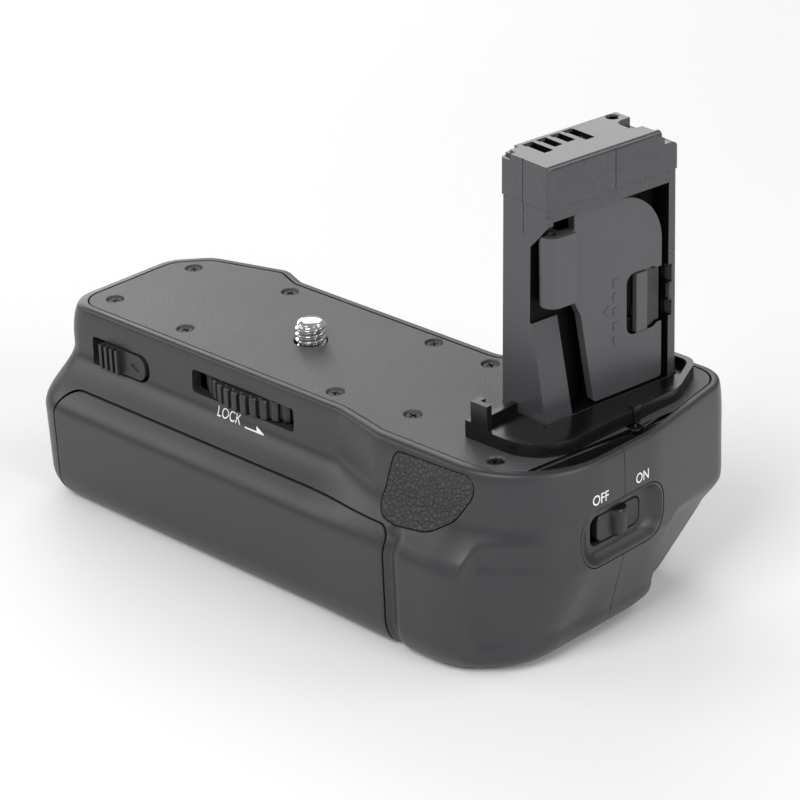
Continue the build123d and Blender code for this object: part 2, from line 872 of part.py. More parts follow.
with BuildPart() as cage_contacts:
    for place_share in (-1, 0, 1):
        blade_x = place_share * contact_slot_pitch
        blade = block(
            blade_x - contact_width / 2, blade_x + contact_width / 2,
            carriage_front + rest_gap, front_reach, bay_floor_z, bay_floor_z + contact_width,
        )
        add(blade & inner_full)
cage_contacts.part.label = "cage_contacts"
export_step(cage_contacts.part, "parts/cage_contacts.step")

# Tripod bush
with BuildPart() as tripod_bush:
    bush_end_z = -body_height + tripod_depth + tripod_end
    add(peg(0, 0, -body_height, bush_end_z, tripod_r + tripod_wall, hidden_sides))
    add(peg(0, 0, rib_low_z, rib_low_z + tripod_flange, tripod_flange_r, hidden_sides))
    add(rod(0, 0, -body_height, -body_height + tripod_depth, tripod_r), mode=Mode.SUBTRACT)
tripod_bush.part.label = "tripod_bush"
export_step(tripod_bush.part, "parts/tripod_bush.step")

# Tray latch
latch_inner_y = -rear_reach + (rim.rear + neck.rear) / 2 + wall + rest_gap
with BuildPart() as tray_latch:
    knob_left = -latch_slot_left + latch_clear + latch_travel
    knob_middle = knob_left + latch_rib_length
    knob_right = knob_middle + latch_tongue_length
    knob_low = latch_low + latch_clear
    knob_high = latch_high - latch_clear
    face_y = -rear_reach + neck.rear
    knob_points = [(knob_left, knob_high), (knob_left, knob_low), (knob_right, knob_low), (knob_right, knob_high)]
    knob_corner = latch_slot_r - latch_clear
    knob_radii = [latch_clear, latch_clear, knob_corner, knob_corner]
    add(rear_prism(knob_points, knob_radii, latch_inner_y, face_y - latch_tongue_stand))
    pitch = latch_rib_length / latch_ribs
    for k in range(latch_ribs):
        rib_x = knob_left + k * pitch
        add(block(rib_x, rib_x + pitch / 2, face_y - latch_rib_stand, latch_inner_y, knob_low, knob_high))
    plate_left = knob_left - latch_travel - latch_plate_extra
    plate_right = knob_right + latch_plate_extra + latch_travel
    plate_low = knob_low - latch_plate_extra / 2
    plate_high = knob_high + latch_plate_extra / 2
    back_y = latch_inner_y + latch_plate
    add(block(plate_left, plate_right, latch_inner_y, back_y, plate_low, plate_high))
    add(block(leg_left, leg_right, latch_inner_y, back_y, cage_roof_low + rest_gap, plate_low))
tray_latch.part.label = "tray_latch"
export_step(tray_latch.part, "parts/tray_latch.step")

with BuildPart() as tray_latch_spring:
    leaf_rear = back_y + rest_gap + running_gap
    leaf_front = screws_left[0][1] - pillar_r
    leaf_low = -latch_slot_z - latch_plate
    add(
        block(
            screws_left[0][0] - latch_plate, leg_right + latch_hook_width,
            leaf_rear, leaf_front, leaf_low, leaf_low + 2 * latch_plate,
        )
    )
tray_latch_spring.part.label = "tray_latch_spring"
export_step(tray_latch_spring.part, "parts/tray_latch_spring.step")

# Switch
with BuildPart() as switch_bezel:
    add(end_prism(bezel_width, bezel_height, bezel_r, bezel_seat_x, bezel_face_x, bezel_y, -bezel_z))
    flange = end_prism(
        bezel_width + wall, bezel_height + wall, bezel_r, bezel_seat_x, bezel_face_x, bezel_y, -bezel_z
    )
    add(flange & inner)
    floor_x = bezel_face_x - bezel_depth
    with BuildSketch(Plane.YZ.offset(floor_x)):
        with Locations((bezel_y, -bezel_z)):
            RectangleRounded(slot_width + bezel_back, slot_height + bezel_back, slot_r + bezel_back / 2)
    with BuildSketch(Plane.YZ.offset(bezel_face_x)):
        with Locations((bezel_y, -bezel_z)):
            RectangleRounded(bezel_width - bezel_back, bezel_height - bezel_back, bezel_r - bezel_back / 2)
    loft(ruled=True, mode=Mode.SUBTRACT)
    add(end_prism(slot_width, slot_height, slot_r, bezel_seat_x - wall, far, bezel_y, -bezel_z), mode=Mode.SUBTRACT)
switch_bezel.part.label = "switch_bezel"
export_step(switch_bezel.part, "parts/switch_bezel.step")

knob_y = bezel_y + slot_width / 2 - gap - knob_width / 2 + running_gap
knob_travel_end = slot_width - knob_width - 2 * gap
stem = contact_width * 2 / 3
body_x = board_x + board_thickness
with BuildPart() as switch_slider:
    plate_x = floor_x - knob_plate
    add(end_prism(knob_width, slot_height - 2 * gap, slot_r - gap, plate_x, floor_x, knob_y, -bezel_z))
    add(end_prism(knob_ridge, slot_height - 2 * gap, rest_gap, floor_x, floor_x + knob_ridge_stand, knob_y, -bezel_z))
    add(
        block(
            plate_x - switch_depth, plate_x, knob_y - stem / 2, knob_y + stem / 2,
            -bezel_z - stem / 2, -bezel_z + stem / 2,
        )
    )
switch_slider.part.label = "switch_slider"
export_step(switch_slider.part, "parts/switch_slider.step")

with BuildPart() as switch_body:
    body_right = plate_x - stem
    add(
        block(
            body_x, body_right, knob_y - knob_width / 2, knob_y + knob_width / 2,
            -bezel_z - slot_height / 2, -bezel_z + slot_height / 2,
        )
    )
    add(
        block(
            plate_x - switch_depth - gap, far, knob_y - stem / 2 - knob_travel - rest_gap,
            knob_y + stem / 2 + rest_gap, -bezel_z - stem / 2 - rest_gap, -bezel_z + stem / 2 + rest_gap,
        ),
        mode=Mode.SUBTRACT,
    )
switch_body.part.label = "switch_body"
export_step(switch_body.part, "parts/switch_body.step")

with BuildPart() as circuit_board:
    add(block(board_x, body_x, -board_rear, board_front, -board_low_z, -board_top_z))
circuit_board.part.label = "circuit_board"
export_step(circuit_board.part, "parts/circuit_board.step")


# Shutter button, along the facet's normal
def facet_rod(low, high, radius):
    """A cylinder along the facet's normal."""
    return button_plane.location * rod(0, 0, low, high, radius)


def facet_peg(low, high, radius):
    """A prism with flat sides along the facet's normal, for the pieces under the button."""
    return button_plane.location * peg(0, 0, low, high, radius, hidden_sides)


collar_low = -wall - button_flange
flange_high = -wall + button_flange / 2
flange_low_at = flange_high - button_flange
cup_low = -button_boss_depth
cup_floor = cup_low + button_flange
stem_end = cup_floor + push_switch_height + button_travel + rest_gap
with BuildPart() as button_collar:
    add(facet_rod(collar_low, gap, collar_r))
    add(facet_peg(collar_low, -wall, button_boss_r))
    add(facet_rod(-far, far, button_r + rest_gap), mode=Mode.SUBTRACT)
    add(facet_peg(collar_low, flange_high + rest_gap, button_flange_r + rest_gap), mode=Mode.SUBTRACT)
button_collar.part.label = "button_collar"
export_step(button_collar.part, "parts/button_collar.step")

with BuildPart() as shutter_button:
    add(facet_rod(flange_low_at, button_stand, button_r))
    add(facet_peg(flange_low_at, flange_high, button_flange_r))
    add(facet_peg(stem_end, flange_low_at, button_stem_r))
shutter_button.part.label = "shutter_button"
export_step(shutter_button.part, "parts/shutter_button.step")

with BuildPart() as button_cup:
    add(facet_peg(cup_low, collar_low, button_boss_r))
    add(facet_peg(cup_floor, collar_low, collar_r), mode=Mode.SUBTRACT)
button_cup.part.label = "button_cup"
export_step(button_cup.part, "parts/button_cup.step")

with BuildPart() as push_switch:
    side = button_r * 4 / 3
    half = side / 2
    add(button_plane.location * block(-half, half, -half, half, cup_floor, cup_floor + push_switch_height))
push_switch.part.label = "push_switch"
export_step(push_switch.part, "parts/push_switch.step")

with BuildPart() as button_spring:
    spring_high = flange_low_at - button_travel - rest_gap
    add(facet_peg(cup_floor, spring_high, collar_r - gap))
    add(facet_peg(cup_floor, spring_high, collar_r - gap - contact_blade), mode=Mode.SUBTRACT)
button_spring.part.label = "button_spring"
export_step(button_spring.part, "parts/button_spring.step")

# Stalk
curb_points = [
    (curb_left, -curb_rear),
    (curb_right, -curb_rear),
    (curb_right + stalk_r, curb_front),
    (stalk_x + post_leg * 2, front_reach - post_width),
    (curb_left, front_reach - post_width),
]
curb_radii = [stalk_r, curb_r, post_width * 2, post_width, post_width]
with BuildPart() as stalk_base:
    with BuildSketch() as curb_floor:
        with BuildLine():
            FilletPolyline(*curb_points, radius=curb_radii, close=True)
        make_face()
    extrude(amount=curb_height)
    with BuildSketch(Plane.XY.offset(base_floor)):
        add(curb_floor.sketch)
        offset(amount=-curb_width)
    extrude(amount=curb_height, mode=Mode.SUBTRACT)
    add(block(curb_left, curb_left + curb_width, -curb_rear, -curb_rear + curb_width, 0, low_post_height))
    post_right = post_left + post_width
    add(block(post_left, post_right, -curb_rear, -curb_rear + curb_width, 0, post_height))
    add(block(post_left, post_left + curb_width, -curb_rear, -curb_rear + post_leg, 0, post_height))
    small_left = curb_right - curb_width / 2
    small_front = small_post_y + small_post_width
    add(block(small_left, curb_right + small_post_reach, small_post_y, small_front, 0, small_post_height))
    add(stalk_frame * stalk_form(-gap, -stalk_wall, 2 * post_height), mode=Mode.SUBTRACT)
stalk_base.part.label = "stalk_base"
export_step(stalk_base.part, "parts/stalk_base.step")

recess_u = -door_set - door_thickness - 2 * latch_pocket_depth - rest_gap
slope_points = [
    (0, 0),
    (-wedge_set, wedge_top_z),
    (recess_u, wedge_top_z),
    (recess_u, opening_top_z),
    (far, opening_top_z),
    (far, 0),
]
with BuildPart() as stalk_body:
    add(stalk_form(0, 0, stalk_seam_z))
    hollow_u = -stalk_thickness + stalk_wall
    hollow_end = recess_u - stalk_wall
    hollow_v = stalk_width - 2 * stalk_wall
    add(
        block(hollow_u, hollow_end, 2 * stalk_wall, hollow_v, -far, stalk_seam_z - stalk_wall),
        mode=Mode.SUBTRACT,
    )
    add(rear_prism(slope_points, [0] * 6, wedge_width, -far), mode=Mode.SUBTRACT)
    open_points = [
        (wedge_width - gap, base_floor),
        (opening_far, base_floor),
        (opening_far, opening_top_z),
        (wedge_width - gap, opening_top_z),
    ]
    add(door_prism(open_points, [0, 0, door_arc_r, 0], recess_u, far), mode=Mode.SUBTRACT)
    for rest_v in (door_foot_near, door_far - post_leg):
        add(
            block(
                recess_u, -door_set - door_thickness - rest_gap, rest_v, rest_v + stalk_wall / 2,
                base_floor, wedge_top_z / 2,
            )
        )
moved = stalk_frame * stalk_body.part
moved.label = "stalk_body"
export_step(moved, "parts/stalk_body.step")

cap_low_z = stalk_seam_z
with BuildPart() as stalk_cap:
    add(stalk_form(-cap_proud, cap_low_z, stalk_top_z))
    add(stalk_form(stalk_wall, cap_low_z - stalk_wall, stalk_top_z - stalk_wall), mode=Mode.SUBTRACT)
    step_low = stalk_top_z - cap_step
    add(block(-far, far, cap_step_v, far, step_low, far), mode=Mode.SUBTRACT)
    for k in range(contact_slots):
        slot_v = contact_slot_first + k * contact_slot_pitch
        add(
            block(
                -far, -stalk_thickness + contact_slot_length, slot_v, slot_v + contact_slot_width,
                stalk_top_z - contact_slot_depth, far,
            ),
            mode=Mode.SUBTRACT,
        )
moved = stalk_frame * stalk_cap.part
moved.label = "stalk_cap"
export_step(moved, "parts/stalk_cap.step")

with BuildPart() as stalk_contacts:
    blade_left = -stalk_thickness + stalk_wall + rest_gap
    blade_right = -stalk_thickness + contact_slot_length
    last_v = contact_slot_first + (contact_slots - 1) * contact_slot_pitch + contact_slot_width
    add(block(blade_left, blade_right, contact_slot_first, last_v, cap_low_z, cap_low_z + contact_slot_depth))
    for k in range(contact_slots):
        blade_v = contact_slot_first + k * contact_slot_pitch + contact_slot_width / 2
        add(
            block(
                blade_left, blade_right, blade_v - contact_blade / 2, blade_v + contact_blade / 2,
                cap_low_z, stalk_top_z - stalk_r,
            )
        )
moved = stalk_frame * stalk_contacts.part
moved.label = "stalk_contacts"
export_step(moved, "parts/stalk_contacts.step")

# Stored door
door_back = -door_set - door_thickness
knuckle_r = (knuckle_reach - stalk_wall / 4) / 2
knuckle_u = -knuckle_r + knuckle_stand - rest_gap
knuckle_v = knuckle_r + knuckle_stand + gap
door_top_z = opening_top_z - door_gap
door_points = [
    (door_foot_near, door_bottom_z),
    (door_far, door_bottom_z),
    (door_far, door_top_z),
    (door_near, door_top_z),
    (door_near, knuckle_top_z),
    (knuckle_v, knuckle_top_z),
    (knuckle_v, knuckle_bottom_z),
    (door_near, knuckle_bottom_z),
    (door_low_near, door_low_z),
]
pocket_mid_v = (latch_pocket_near + latch_pocket_far) / 2
pocket_points = [
    (latch_pocket_near, latch_pocket_low_z),
    (latch_pocket_far, latch_pocket_low_z),
    (latch_pocket_far, latch_pocket_high_z),
    (latch_pocket_near, latch_pocket_high_z),
]
pocket_u = -door_set - latch_pocket_depth
ridge_v = latch_pocket_near + door_latch_travel + rest_gap
leg_low = latch_pocket_low_z + door_gap + door_latch_width
leg_high = leg_low + door_latch_width
with BuildPart() as stored_door:
    add(door_prism(door_points, [stalk_r, stalk_r, door_arc_r - door_gap, 0, 0, 0, 0, 0, 0], door_back, -door_set))
    add(rod(knuckle_u, knuckle_v, knuckle_bottom_z, knuckle_top_z, knuckle_r))
    add(block(knuckle_u, knuckle_u + knuckle_r, knuckle_v, door_near, knuckle_bottom_z, knuckle_top_z))
    add(rod(knuckle_u, knuckle_v, -far, far, stalk_r), mode=Mode.SUBTRACT)
    add(door_prism(pocket_points, [latch_pocket_r] * 4, pocket_u, far), mode=Mode.SUBTRACT)
    add(
        block(
            -far, far, latch_pocket_near + gap, ridge_v + door_latch_width + rest_gap,
            leg_low - rest_gap, leg_high + rest_gap,
        ),
        mode=Mode.SUBTRACT,
    )
moved = stalk_frame * stored_door.part
moved.label = "stored_door"
export_step(moved, "parts/stored_door.step")

with BuildPart() as door_latch:
    latch_u = pocket_u + rest_gap
    slide_far = latch_pocket_far - rest_gap
    slide_points = [
        (ridge_v, latch_pocket_low_z + door_gap),
        (slide_far, latch_pocket_low_z + door_gap),
        (slide_far, latch_pocket_high_z - door_gap),
        (ridge_v, latch_pocket_high_z - door_gap),
    ]
    add(door_prism(slide_points, [gap, latch_pocket_r, latch_pocket_r, gap], latch_u, -door_set))
    add(
        block(
            latch_u, knuckle_stand, ridge_v, ridge_v + door_latch_width,
            latch_pocket_low_z + door_gap, latch_pocket_high_z - door_gap,
        )
    )
    tongue_u = door_back - rest_gap
    add(block(tongue_u - knuckle_stand, latch_u, ridge_v + gap, ridge_v + door_latch_width, leg_low, leg_high))
    add(block(tongue_u - knuckle_stand, tongue_u, ridge_v, opening_far - rest_gap, leg_low, leg_high))
moved = stalk_frame * door_latch.part
moved.label = "door_latch"
export_step(moved, "parts/door_latch.step")

with BuildPart() as door_latch_spring:
    spring_v = latch_pocket_near - stalk_wall
    add(block(door_back - stalk_r, door_back, spring_v - door_latch_width, spring_v, leg_low, leg_high))
moved = stalk_frame * door_latch_spring.part
moved.label = "door_latch_spring"
export_step(moved, "parts/door_latch_spring.step")
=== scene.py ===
import json
import math

import bmesh
import bpy
import numpy as np
from mathutils import Matrix, Vector
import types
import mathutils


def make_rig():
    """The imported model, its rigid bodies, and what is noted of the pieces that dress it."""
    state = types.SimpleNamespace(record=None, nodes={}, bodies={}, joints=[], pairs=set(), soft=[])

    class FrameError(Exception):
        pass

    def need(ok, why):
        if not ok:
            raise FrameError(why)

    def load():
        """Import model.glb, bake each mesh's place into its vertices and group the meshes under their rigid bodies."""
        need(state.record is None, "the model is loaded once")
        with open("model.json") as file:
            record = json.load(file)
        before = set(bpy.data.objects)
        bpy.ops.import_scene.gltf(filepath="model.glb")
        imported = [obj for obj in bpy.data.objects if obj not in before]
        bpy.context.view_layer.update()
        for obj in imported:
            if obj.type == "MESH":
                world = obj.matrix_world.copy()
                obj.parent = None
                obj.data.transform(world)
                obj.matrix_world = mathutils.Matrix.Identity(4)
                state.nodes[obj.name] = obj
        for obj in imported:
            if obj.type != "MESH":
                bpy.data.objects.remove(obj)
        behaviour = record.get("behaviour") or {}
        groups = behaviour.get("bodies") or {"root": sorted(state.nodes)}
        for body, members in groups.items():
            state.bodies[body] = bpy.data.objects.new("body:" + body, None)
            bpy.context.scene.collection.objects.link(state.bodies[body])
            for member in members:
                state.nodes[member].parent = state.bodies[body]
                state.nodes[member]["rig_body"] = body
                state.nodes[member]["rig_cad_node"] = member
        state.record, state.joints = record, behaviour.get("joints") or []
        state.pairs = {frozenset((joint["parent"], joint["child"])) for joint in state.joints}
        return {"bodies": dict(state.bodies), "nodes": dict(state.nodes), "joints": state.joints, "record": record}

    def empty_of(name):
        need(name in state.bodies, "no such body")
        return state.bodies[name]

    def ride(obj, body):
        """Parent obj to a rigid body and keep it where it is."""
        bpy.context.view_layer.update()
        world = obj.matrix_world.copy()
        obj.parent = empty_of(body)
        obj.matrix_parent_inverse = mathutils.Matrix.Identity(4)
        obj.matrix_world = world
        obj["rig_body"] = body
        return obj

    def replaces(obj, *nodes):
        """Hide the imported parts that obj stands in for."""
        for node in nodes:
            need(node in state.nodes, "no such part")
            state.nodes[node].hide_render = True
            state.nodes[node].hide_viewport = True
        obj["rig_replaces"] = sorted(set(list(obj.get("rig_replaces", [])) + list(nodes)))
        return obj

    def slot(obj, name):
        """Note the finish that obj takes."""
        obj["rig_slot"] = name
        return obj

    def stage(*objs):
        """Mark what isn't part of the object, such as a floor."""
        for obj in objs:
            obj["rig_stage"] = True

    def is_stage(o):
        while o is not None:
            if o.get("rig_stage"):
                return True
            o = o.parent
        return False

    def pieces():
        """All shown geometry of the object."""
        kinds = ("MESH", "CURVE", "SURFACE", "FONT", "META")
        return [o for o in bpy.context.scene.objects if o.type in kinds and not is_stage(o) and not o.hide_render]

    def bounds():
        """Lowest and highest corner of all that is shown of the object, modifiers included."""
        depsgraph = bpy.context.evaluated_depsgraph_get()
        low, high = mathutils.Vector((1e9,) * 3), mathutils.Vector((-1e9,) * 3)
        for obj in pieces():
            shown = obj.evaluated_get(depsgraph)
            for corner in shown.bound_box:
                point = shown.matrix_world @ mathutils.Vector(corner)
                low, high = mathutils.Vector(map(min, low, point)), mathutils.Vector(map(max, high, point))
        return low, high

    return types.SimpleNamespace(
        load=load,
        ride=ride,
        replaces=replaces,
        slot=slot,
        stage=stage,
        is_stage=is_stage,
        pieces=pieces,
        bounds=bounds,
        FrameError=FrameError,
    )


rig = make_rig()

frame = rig.load()
mm = 0.001
scene = bpy.context.scene


# Keeps the box of everything shown, under the stage's name
def noteBounds(stage):
    path = "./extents.json"
    data = {}
    if stage != "load":
        data = json.load(open(path))
    data[stage] = [[float(c) for c in corner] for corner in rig.bounds()]
    json.dump(data, open(path, "w"))


noteBounds("load")


# One output of a node. Each operator adds the Math node that it stands for
class Sock:
    def __init__(self, shader, out):
        self.shader = shader
        self.out = out

    def math(self, operation, *others):
        return self.shader.node("ShaderNodeMath", {"operation": operation}, dict(enumerate((self, *others))))

    def __add__(self, other):
        return self.math("ADD", other)

    def __sub__(self, other):
        return self.math("SUBTRACT", other)

    def __mul__(self, other):
        return self.math("MULTIPLY", other)

    __radd__ = __add__
    __rmul__ = __mul__

    def __rsub__(self, other):
        return self.math("MULTIPLY", -1.0).math("ADD", other)

    # 0 below low, 1 above high, three t squared less two t cubed between them
    def smooth(self, low, high):
        settings = {"interpolation_type": "SMOOTHSTEP"}
        return self.shader.node("ShaderNodeMapRange", settings, {0: self, 1: low, 2: high})

    # The first colour where this is 0, the second where it is 1
    def mixColours(self, first, second):
        return self.shader.node("ShaderNodeMix", {"data_type": "RGBA"}, {0: self, 6: first, 7: second}, 2)


# A Principled material whose patterns lie in Object coordinates
class Shader:
    def __init__(self, name):
        self.material = bpy.data.materials.new(name)
        self.material.use_nodes = True
        self.tree = self.material.node_tree
        self.bsdf = self.tree.nodes["Principled BSDF"]
        self.spot = self.node("ShaderNodeTexCoord", {}, {}, "Object")

    def plug(self, socket, value):
        if isinstance(value, Sock):
            self.tree.links.new(value.out, socket)
        elif socket.type == "RGBA":
            socket.default_value = (*value, 1)
        else:
            socket.default_value = value

    # Adds a node: its type, its settings, then the values or links of its sockets
    def node(self, kind, settings, sockets, output=0):
        made = self.tree.nodes.new(kind)
        for key, value in settings.items():
            setattr(made, key, value)
        for key, value in sockets.items():
            self.plug(made.inputs[key], value)
        return Sock(self, made.outputs[output])

    def feed(self, name, value):
        self.plug(self.bsdf.inputs[name], value)

    def noise(self, grainMm, detail, rough):
        sockets = {"Scale": 1000.0 / grainMm, "Detail": detail, "Roughness": rough, "Vector": self.spot}
        return self.node("ShaderNodeTexNoise", {}, sockets, "Fac")

    def cells(self, grainMm):
        sockets = {"Scale": 1000.0 / grainMm, "Vector": self.spot}
        return self.node("ShaderNodeTexVoronoi", {"feature": "DISTANCE_TO_EDGE"}, sockets, "Distance")

    def bump(self, height, depthMm):
        sockets = {"Strength": 1.0, "Distance": depthMm * mm, "Height": height}
        self.feed("Normal", self.node("ShaderNodeBump", {}, sockets))


# Grain sizes and depths in millimetres
grain = {"broad": 26.0, "metal": 0.4, "metalDeep": 0.004, "cell": 1.0, "wrinkle": 1.1, "leatherDeep": 0.42}


# Colour goes from a little darker to a little lighter with fine and broad noise, and roughness wanders
def plastic(name, colour, rough, grainMm, depthMm, sheen=0.06, spread=0.10, specular=0.5):
    s = Shader(name)
    fine = s.noise(grainMm, 2.0, 0.6)
    broad = s.noise(grain["broad"], 3.0, 0.55)
    lift = fine.smooth(0.35, 0.75) * 0.6 + broad.smooth(0.25, 0.75) * 0.4
    darker = tuple(c * (1 - spread) for c in colour)
    lighter = tuple(c * (1 + spread * 1.6) for c in colour)
    s.feed("Base Color", lift.mixColours(darker, lighter))
    s.feed("Roughness", broad.smooth(0.3, 0.7) * sheen + (rough - sheen / 2) + (fine - 0.5) * 0.10)
    s.feed("Specular IOR Level", specular)
    s.bump(fine, depthMm)
    return s.material


# Even colour, roughness up or down by a share of fine noise
def metal(name, colour, rough):
    s = Shader(name)
    fine = s.noise(grain["metal"], 3.0, 0.6)
    s.feed("Base Color", colour)
    s.feed("Metallic", 1.0)
    s.feed("Roughness", (fine - 0.5) * 0.12 + rough)
    s.bump(fine, grain["metalDeep"])
    return s.material


# Cells with dark creases at their edges, raised by the distance to the crease and by noise
def leather(name):
    s = Shader(name)
    cell = s.cells(grain["cell"])
    wrinkle = s.noise(grain["wrinkle"], 3.0, 0.6)
    s.feed("Base Color", cell.smooth(0.0, 0.2).mixColours((0.018, 0.018, 0.020), (0.046, 0.046, 0.049)))
    s.feed("Roughness", wrinkle * 0.16 + 0.5)
    s.bump(cell.smooth(0.0, 0.30) * 0.7 + wrinkle * 0.7, grain["leatherDeep"])
    return s.material


# Plastics: colour, roughness, grain and depth, then roughness range, colour range and specular level
looks = {
    "housing": plastic("housingPlastic", (0.030, 0.030, 0.033), 0.37, 0.28, 0.020),
    "plate": plastic("plateGrain", (0.060, 0.060, 0.065), 0.44, 0.40, 0.110, 0.06, 0.30),
    # partly painted shade: the gutter is glossy black plastic, and its near-black colour also stands in for shade in
    # the sunk gutter beside the stalk
    "gutter": plastic("gutterGloss", (0.004, 0.004, 0.005), 0.24, 0.9, 0.006, 0.06, 0.10, 0.3),
    # partly painted shade: the curb is glossy black plastic, and its near-black colour also stands in for the shade on
    # the stalk's floor
    "curb": plastic("curbPlastic", (0.007, 0.007, 0.008), 0.24, 1.6, 0.003, 0.06, 0.10, 0.4),
    "pad": leather("leatherPad"),
    "stalk": plastic("stalkPlastic", (0.056, 0.057, 0.063), 0.28, 0.35, 0.004),
    "cap": plastic("capGloss", (0.056, 0.057, 0.063), 0.20, 1.6, 0.004),
    "door": plastic("doorPlastic", (0.074, 0.075, 0.080), 0.42, 0.22, 0.010),
    "trim": plastic("trimPlastic", (0.020, 0.020, 0.022), 0.36, 0.3, 0.010),
    "knob": plastic("knobPlastic", (0.024, 0.024, 0.026), 0.42, 0.22, 0.014),
    "inner": plastic("innerPlastic", (0.040, 0.040, 0.043), 0.60, 0.3, 0.020),
    "bright": metal("brightPlate", (0.80, 0.79, 0.77), 0.14),
    "steel": metal("springSteel", (0.55, 0.55, 0.54), 0.32),
    "darkSteel": metal("blackOxide", (0.035, 0.035, 0.037), 0.42),
    "contact": metal("goldContact", (0.83, 0.63, 0.28), 0.22),
    "brass": metal("turnedBrass", (0.68, 0.52, 0.26), 0.30),
    "board": plastic("boardLacquer", (0.02, 0.13, 0.06), 0.35, 0.8, 0.006),
    # painted shade: a near-black look laid on faces deep in the cap's slots and hole, the stalk's recess and the door's
    # latch pocket, where shade falls
    "recess": plastic("recessShade", (0.0025, 0.0025, 0.003), 0.60, 0.4, 0.004, 0.06, 0.10, 0.12),
    "ink": plastic("whiteInk", (0.80, 0.80, 0.79), 0.55, 0.3, 0.004, 0.02, 0.03),
}
print("stage: materials", len(looks))

farOut = 200.0  # past everything, for the tools that cut right through
# Lengths are in millimetres until meshObject makes a mesh of them


# A smooth mesh with its faces turned outwards, sharp where faces meet at more than the angle
def meshObject(name, verts, faces, look, angle=35):
    mesh = bpy.data.meshes.new(name)
    mesh.from_pydata((np.asarray(verts, float) * mm).tolist(), [], faces)
    mesh.validate()
    bm = bmesh.new()
    bm.from_mesh(mesh)
    bmesh.ops.recalc_face_normals(bm, faces=bm.faces)
    bm.to_mesh(mesh)
    bm.free()
    obj = bpy.data.objects.new(name, mesh)
    scene.collection.objects.link(obj)
    mesh.materials.append(looks[look])
    mesh.shade_smooth()
    mesh.set_sharp_from_angle(angle=math.radians(angle))
    return obj


# Bevels the edges that turn by more than the angle, and evens the normals by face area
def soften(obj, width, angle=35):
    obj.data.shade_smooth()
    if width:
        edge = obj.modifiers.new("edge", "BEVEL")
        edge.limit_method = "ANGLE"
        edge.angle_limit = math.radians(angle)
        edge.width = width * mm
        edge.segments = 2
    evened = obj.modifiers.new("evened", "WEIGHTED_NORMAL")
    evened.keep_sharp = False
    return obj


# Skins a row of loops: corner i of one loop joins i + 1 and the same two of the next. Both ends are
# capped, or with closed the last loop joins the first
def loopSolid(name, loops, look, angle=35, closed=False):
    rows, count = len(loops), len(loops[0])
    i, k = np.arange(count), np.arange(rows if closed else rows - 1)[:, None]
    j, a, b = (i + 1) % count, k * count, (k + 1) % rows * count
    faces = np.stack([a + i, a + j, b + j, b + i], -1).reshape(-1, 4).tolist()
    if not closed:
        faces += [list(range(count))[::-1], list(range((rows - 1) * count, rows * count))]
    return meshObject(name, np.concatenate([np.asarray(loop, float) for loop in loops]), faces, look, angle)


# A solid that only cuts or adds, so its look is never seen
def cutter(loops):
    return loopSolid("tool", loops, "housing")


# Corners become arcs: the centre lies on the bisector, radius over the sine of half the angle away
def roundPoly(points, radii, seg=8):
    count = len(points)
    out = []
    for i in range(count):
        here = np.array(points[i], float)
        before = np.array(points[i - 1], float)
        after = np.array(points[(i + 1) % count], float)
        radius = radii[i] if isinstance(radii, (list, tuple)) else radii
        wayIn = (before - here) / np.linalg.norm(before - here)
        wayOut = (after - here) / np.linalg.norm(after - here)
        half = math.acos(np.clip(wayIn @ wayOut, -1, 1)) / 2
        if radius <= 0 or half > math.pi / 2 - 1e-3:
            out.append(here)
            continue
        tangent = radius / math.tan(half)
        middle = here + (wayIn + wayOut) / np.linalg.norm(wayIn + wayOut) * radius / math.sin(half)
        start = here + wayIn * tangent - middle
        end = here + wayOut * tangent - middle
        a0 = math.atan2(start[1], start[0])
        turn = (math.atan2(end[1], end[0]) - a0 + math.pi) % (2 * math.pi) - math.pi
        for t in np.linspace(0, 1, seg + 1):
            out.append(middle + radius * np.array([math.cos(a0 + turn * t), math.sin(a0 + turn * t)]))
    return np.array(out)


def rect(x0, y0, x1, y1, radius=0.0, seg=8):
    return roundPoly([(x0, y0), (x1, y0), (x1, y1), (x0, y1)], radius, seg)


# Flat outlines laid on a level, on a wall that faces the rear, and on an end wall
def planeXY(pts, z):
    return np.column_stack([pts[:, 0], pts[:, 1], np.full(len(pts), float(z))])


def planeXZ(pts, y):
    return np.column_stack([pts[:, 0], np.full(len(pts), float(y)), pts[:, 1]])


def planeYZ(pts, x):
    return np.column_stack([np.full(len(pts), float(x)), pts[:, 0], pts[:, 1]])


# A circle: radius times the cosine and sine of even angles, at a height
def ring(r, z, seg):
    a = np.linspace(0, 2 * math.pi, seg, endpoint=False)
    return np.column_stack([r * np.cos(a), r * np.sin(a), np.full(seg, float(z))])


def box(x0, x1, y0, y1, z0, z1):
    return cutter([planeXY(rect(x0, y0, x1, y1), z) for z in (z0, z1)])


def rod(x, y, z0, z1, r, seg=48):
    return cutter([ring(r, z, seg) + (x, y, 0) for z in (z0, z1)])


def prismXZ(pts, y0, y1):
    return cutter([planeXZ(pts, y) for y in (y0, y1)])


def prismYZ(pts, x0, x1):
    return cutter([planeYZ(pts, x) for x in (x0, x1)])


# A profile of radius and height turned round the z axis
def lathe(name, profile, look, seg):
    return loopSolid(name, [ring(r, z, seg) for r, z in profile], look)


# Applies an object's modifiers to its mesh
def bake(obj):
    graph = bpy.context.evaluated_depsgraph_get()
    mesh = bpy.data.meshes.new_from_object(obj.evaluated_get(graph), depsgraph=graph)
    obj.modifiers.clear()
    obj.data = mesh


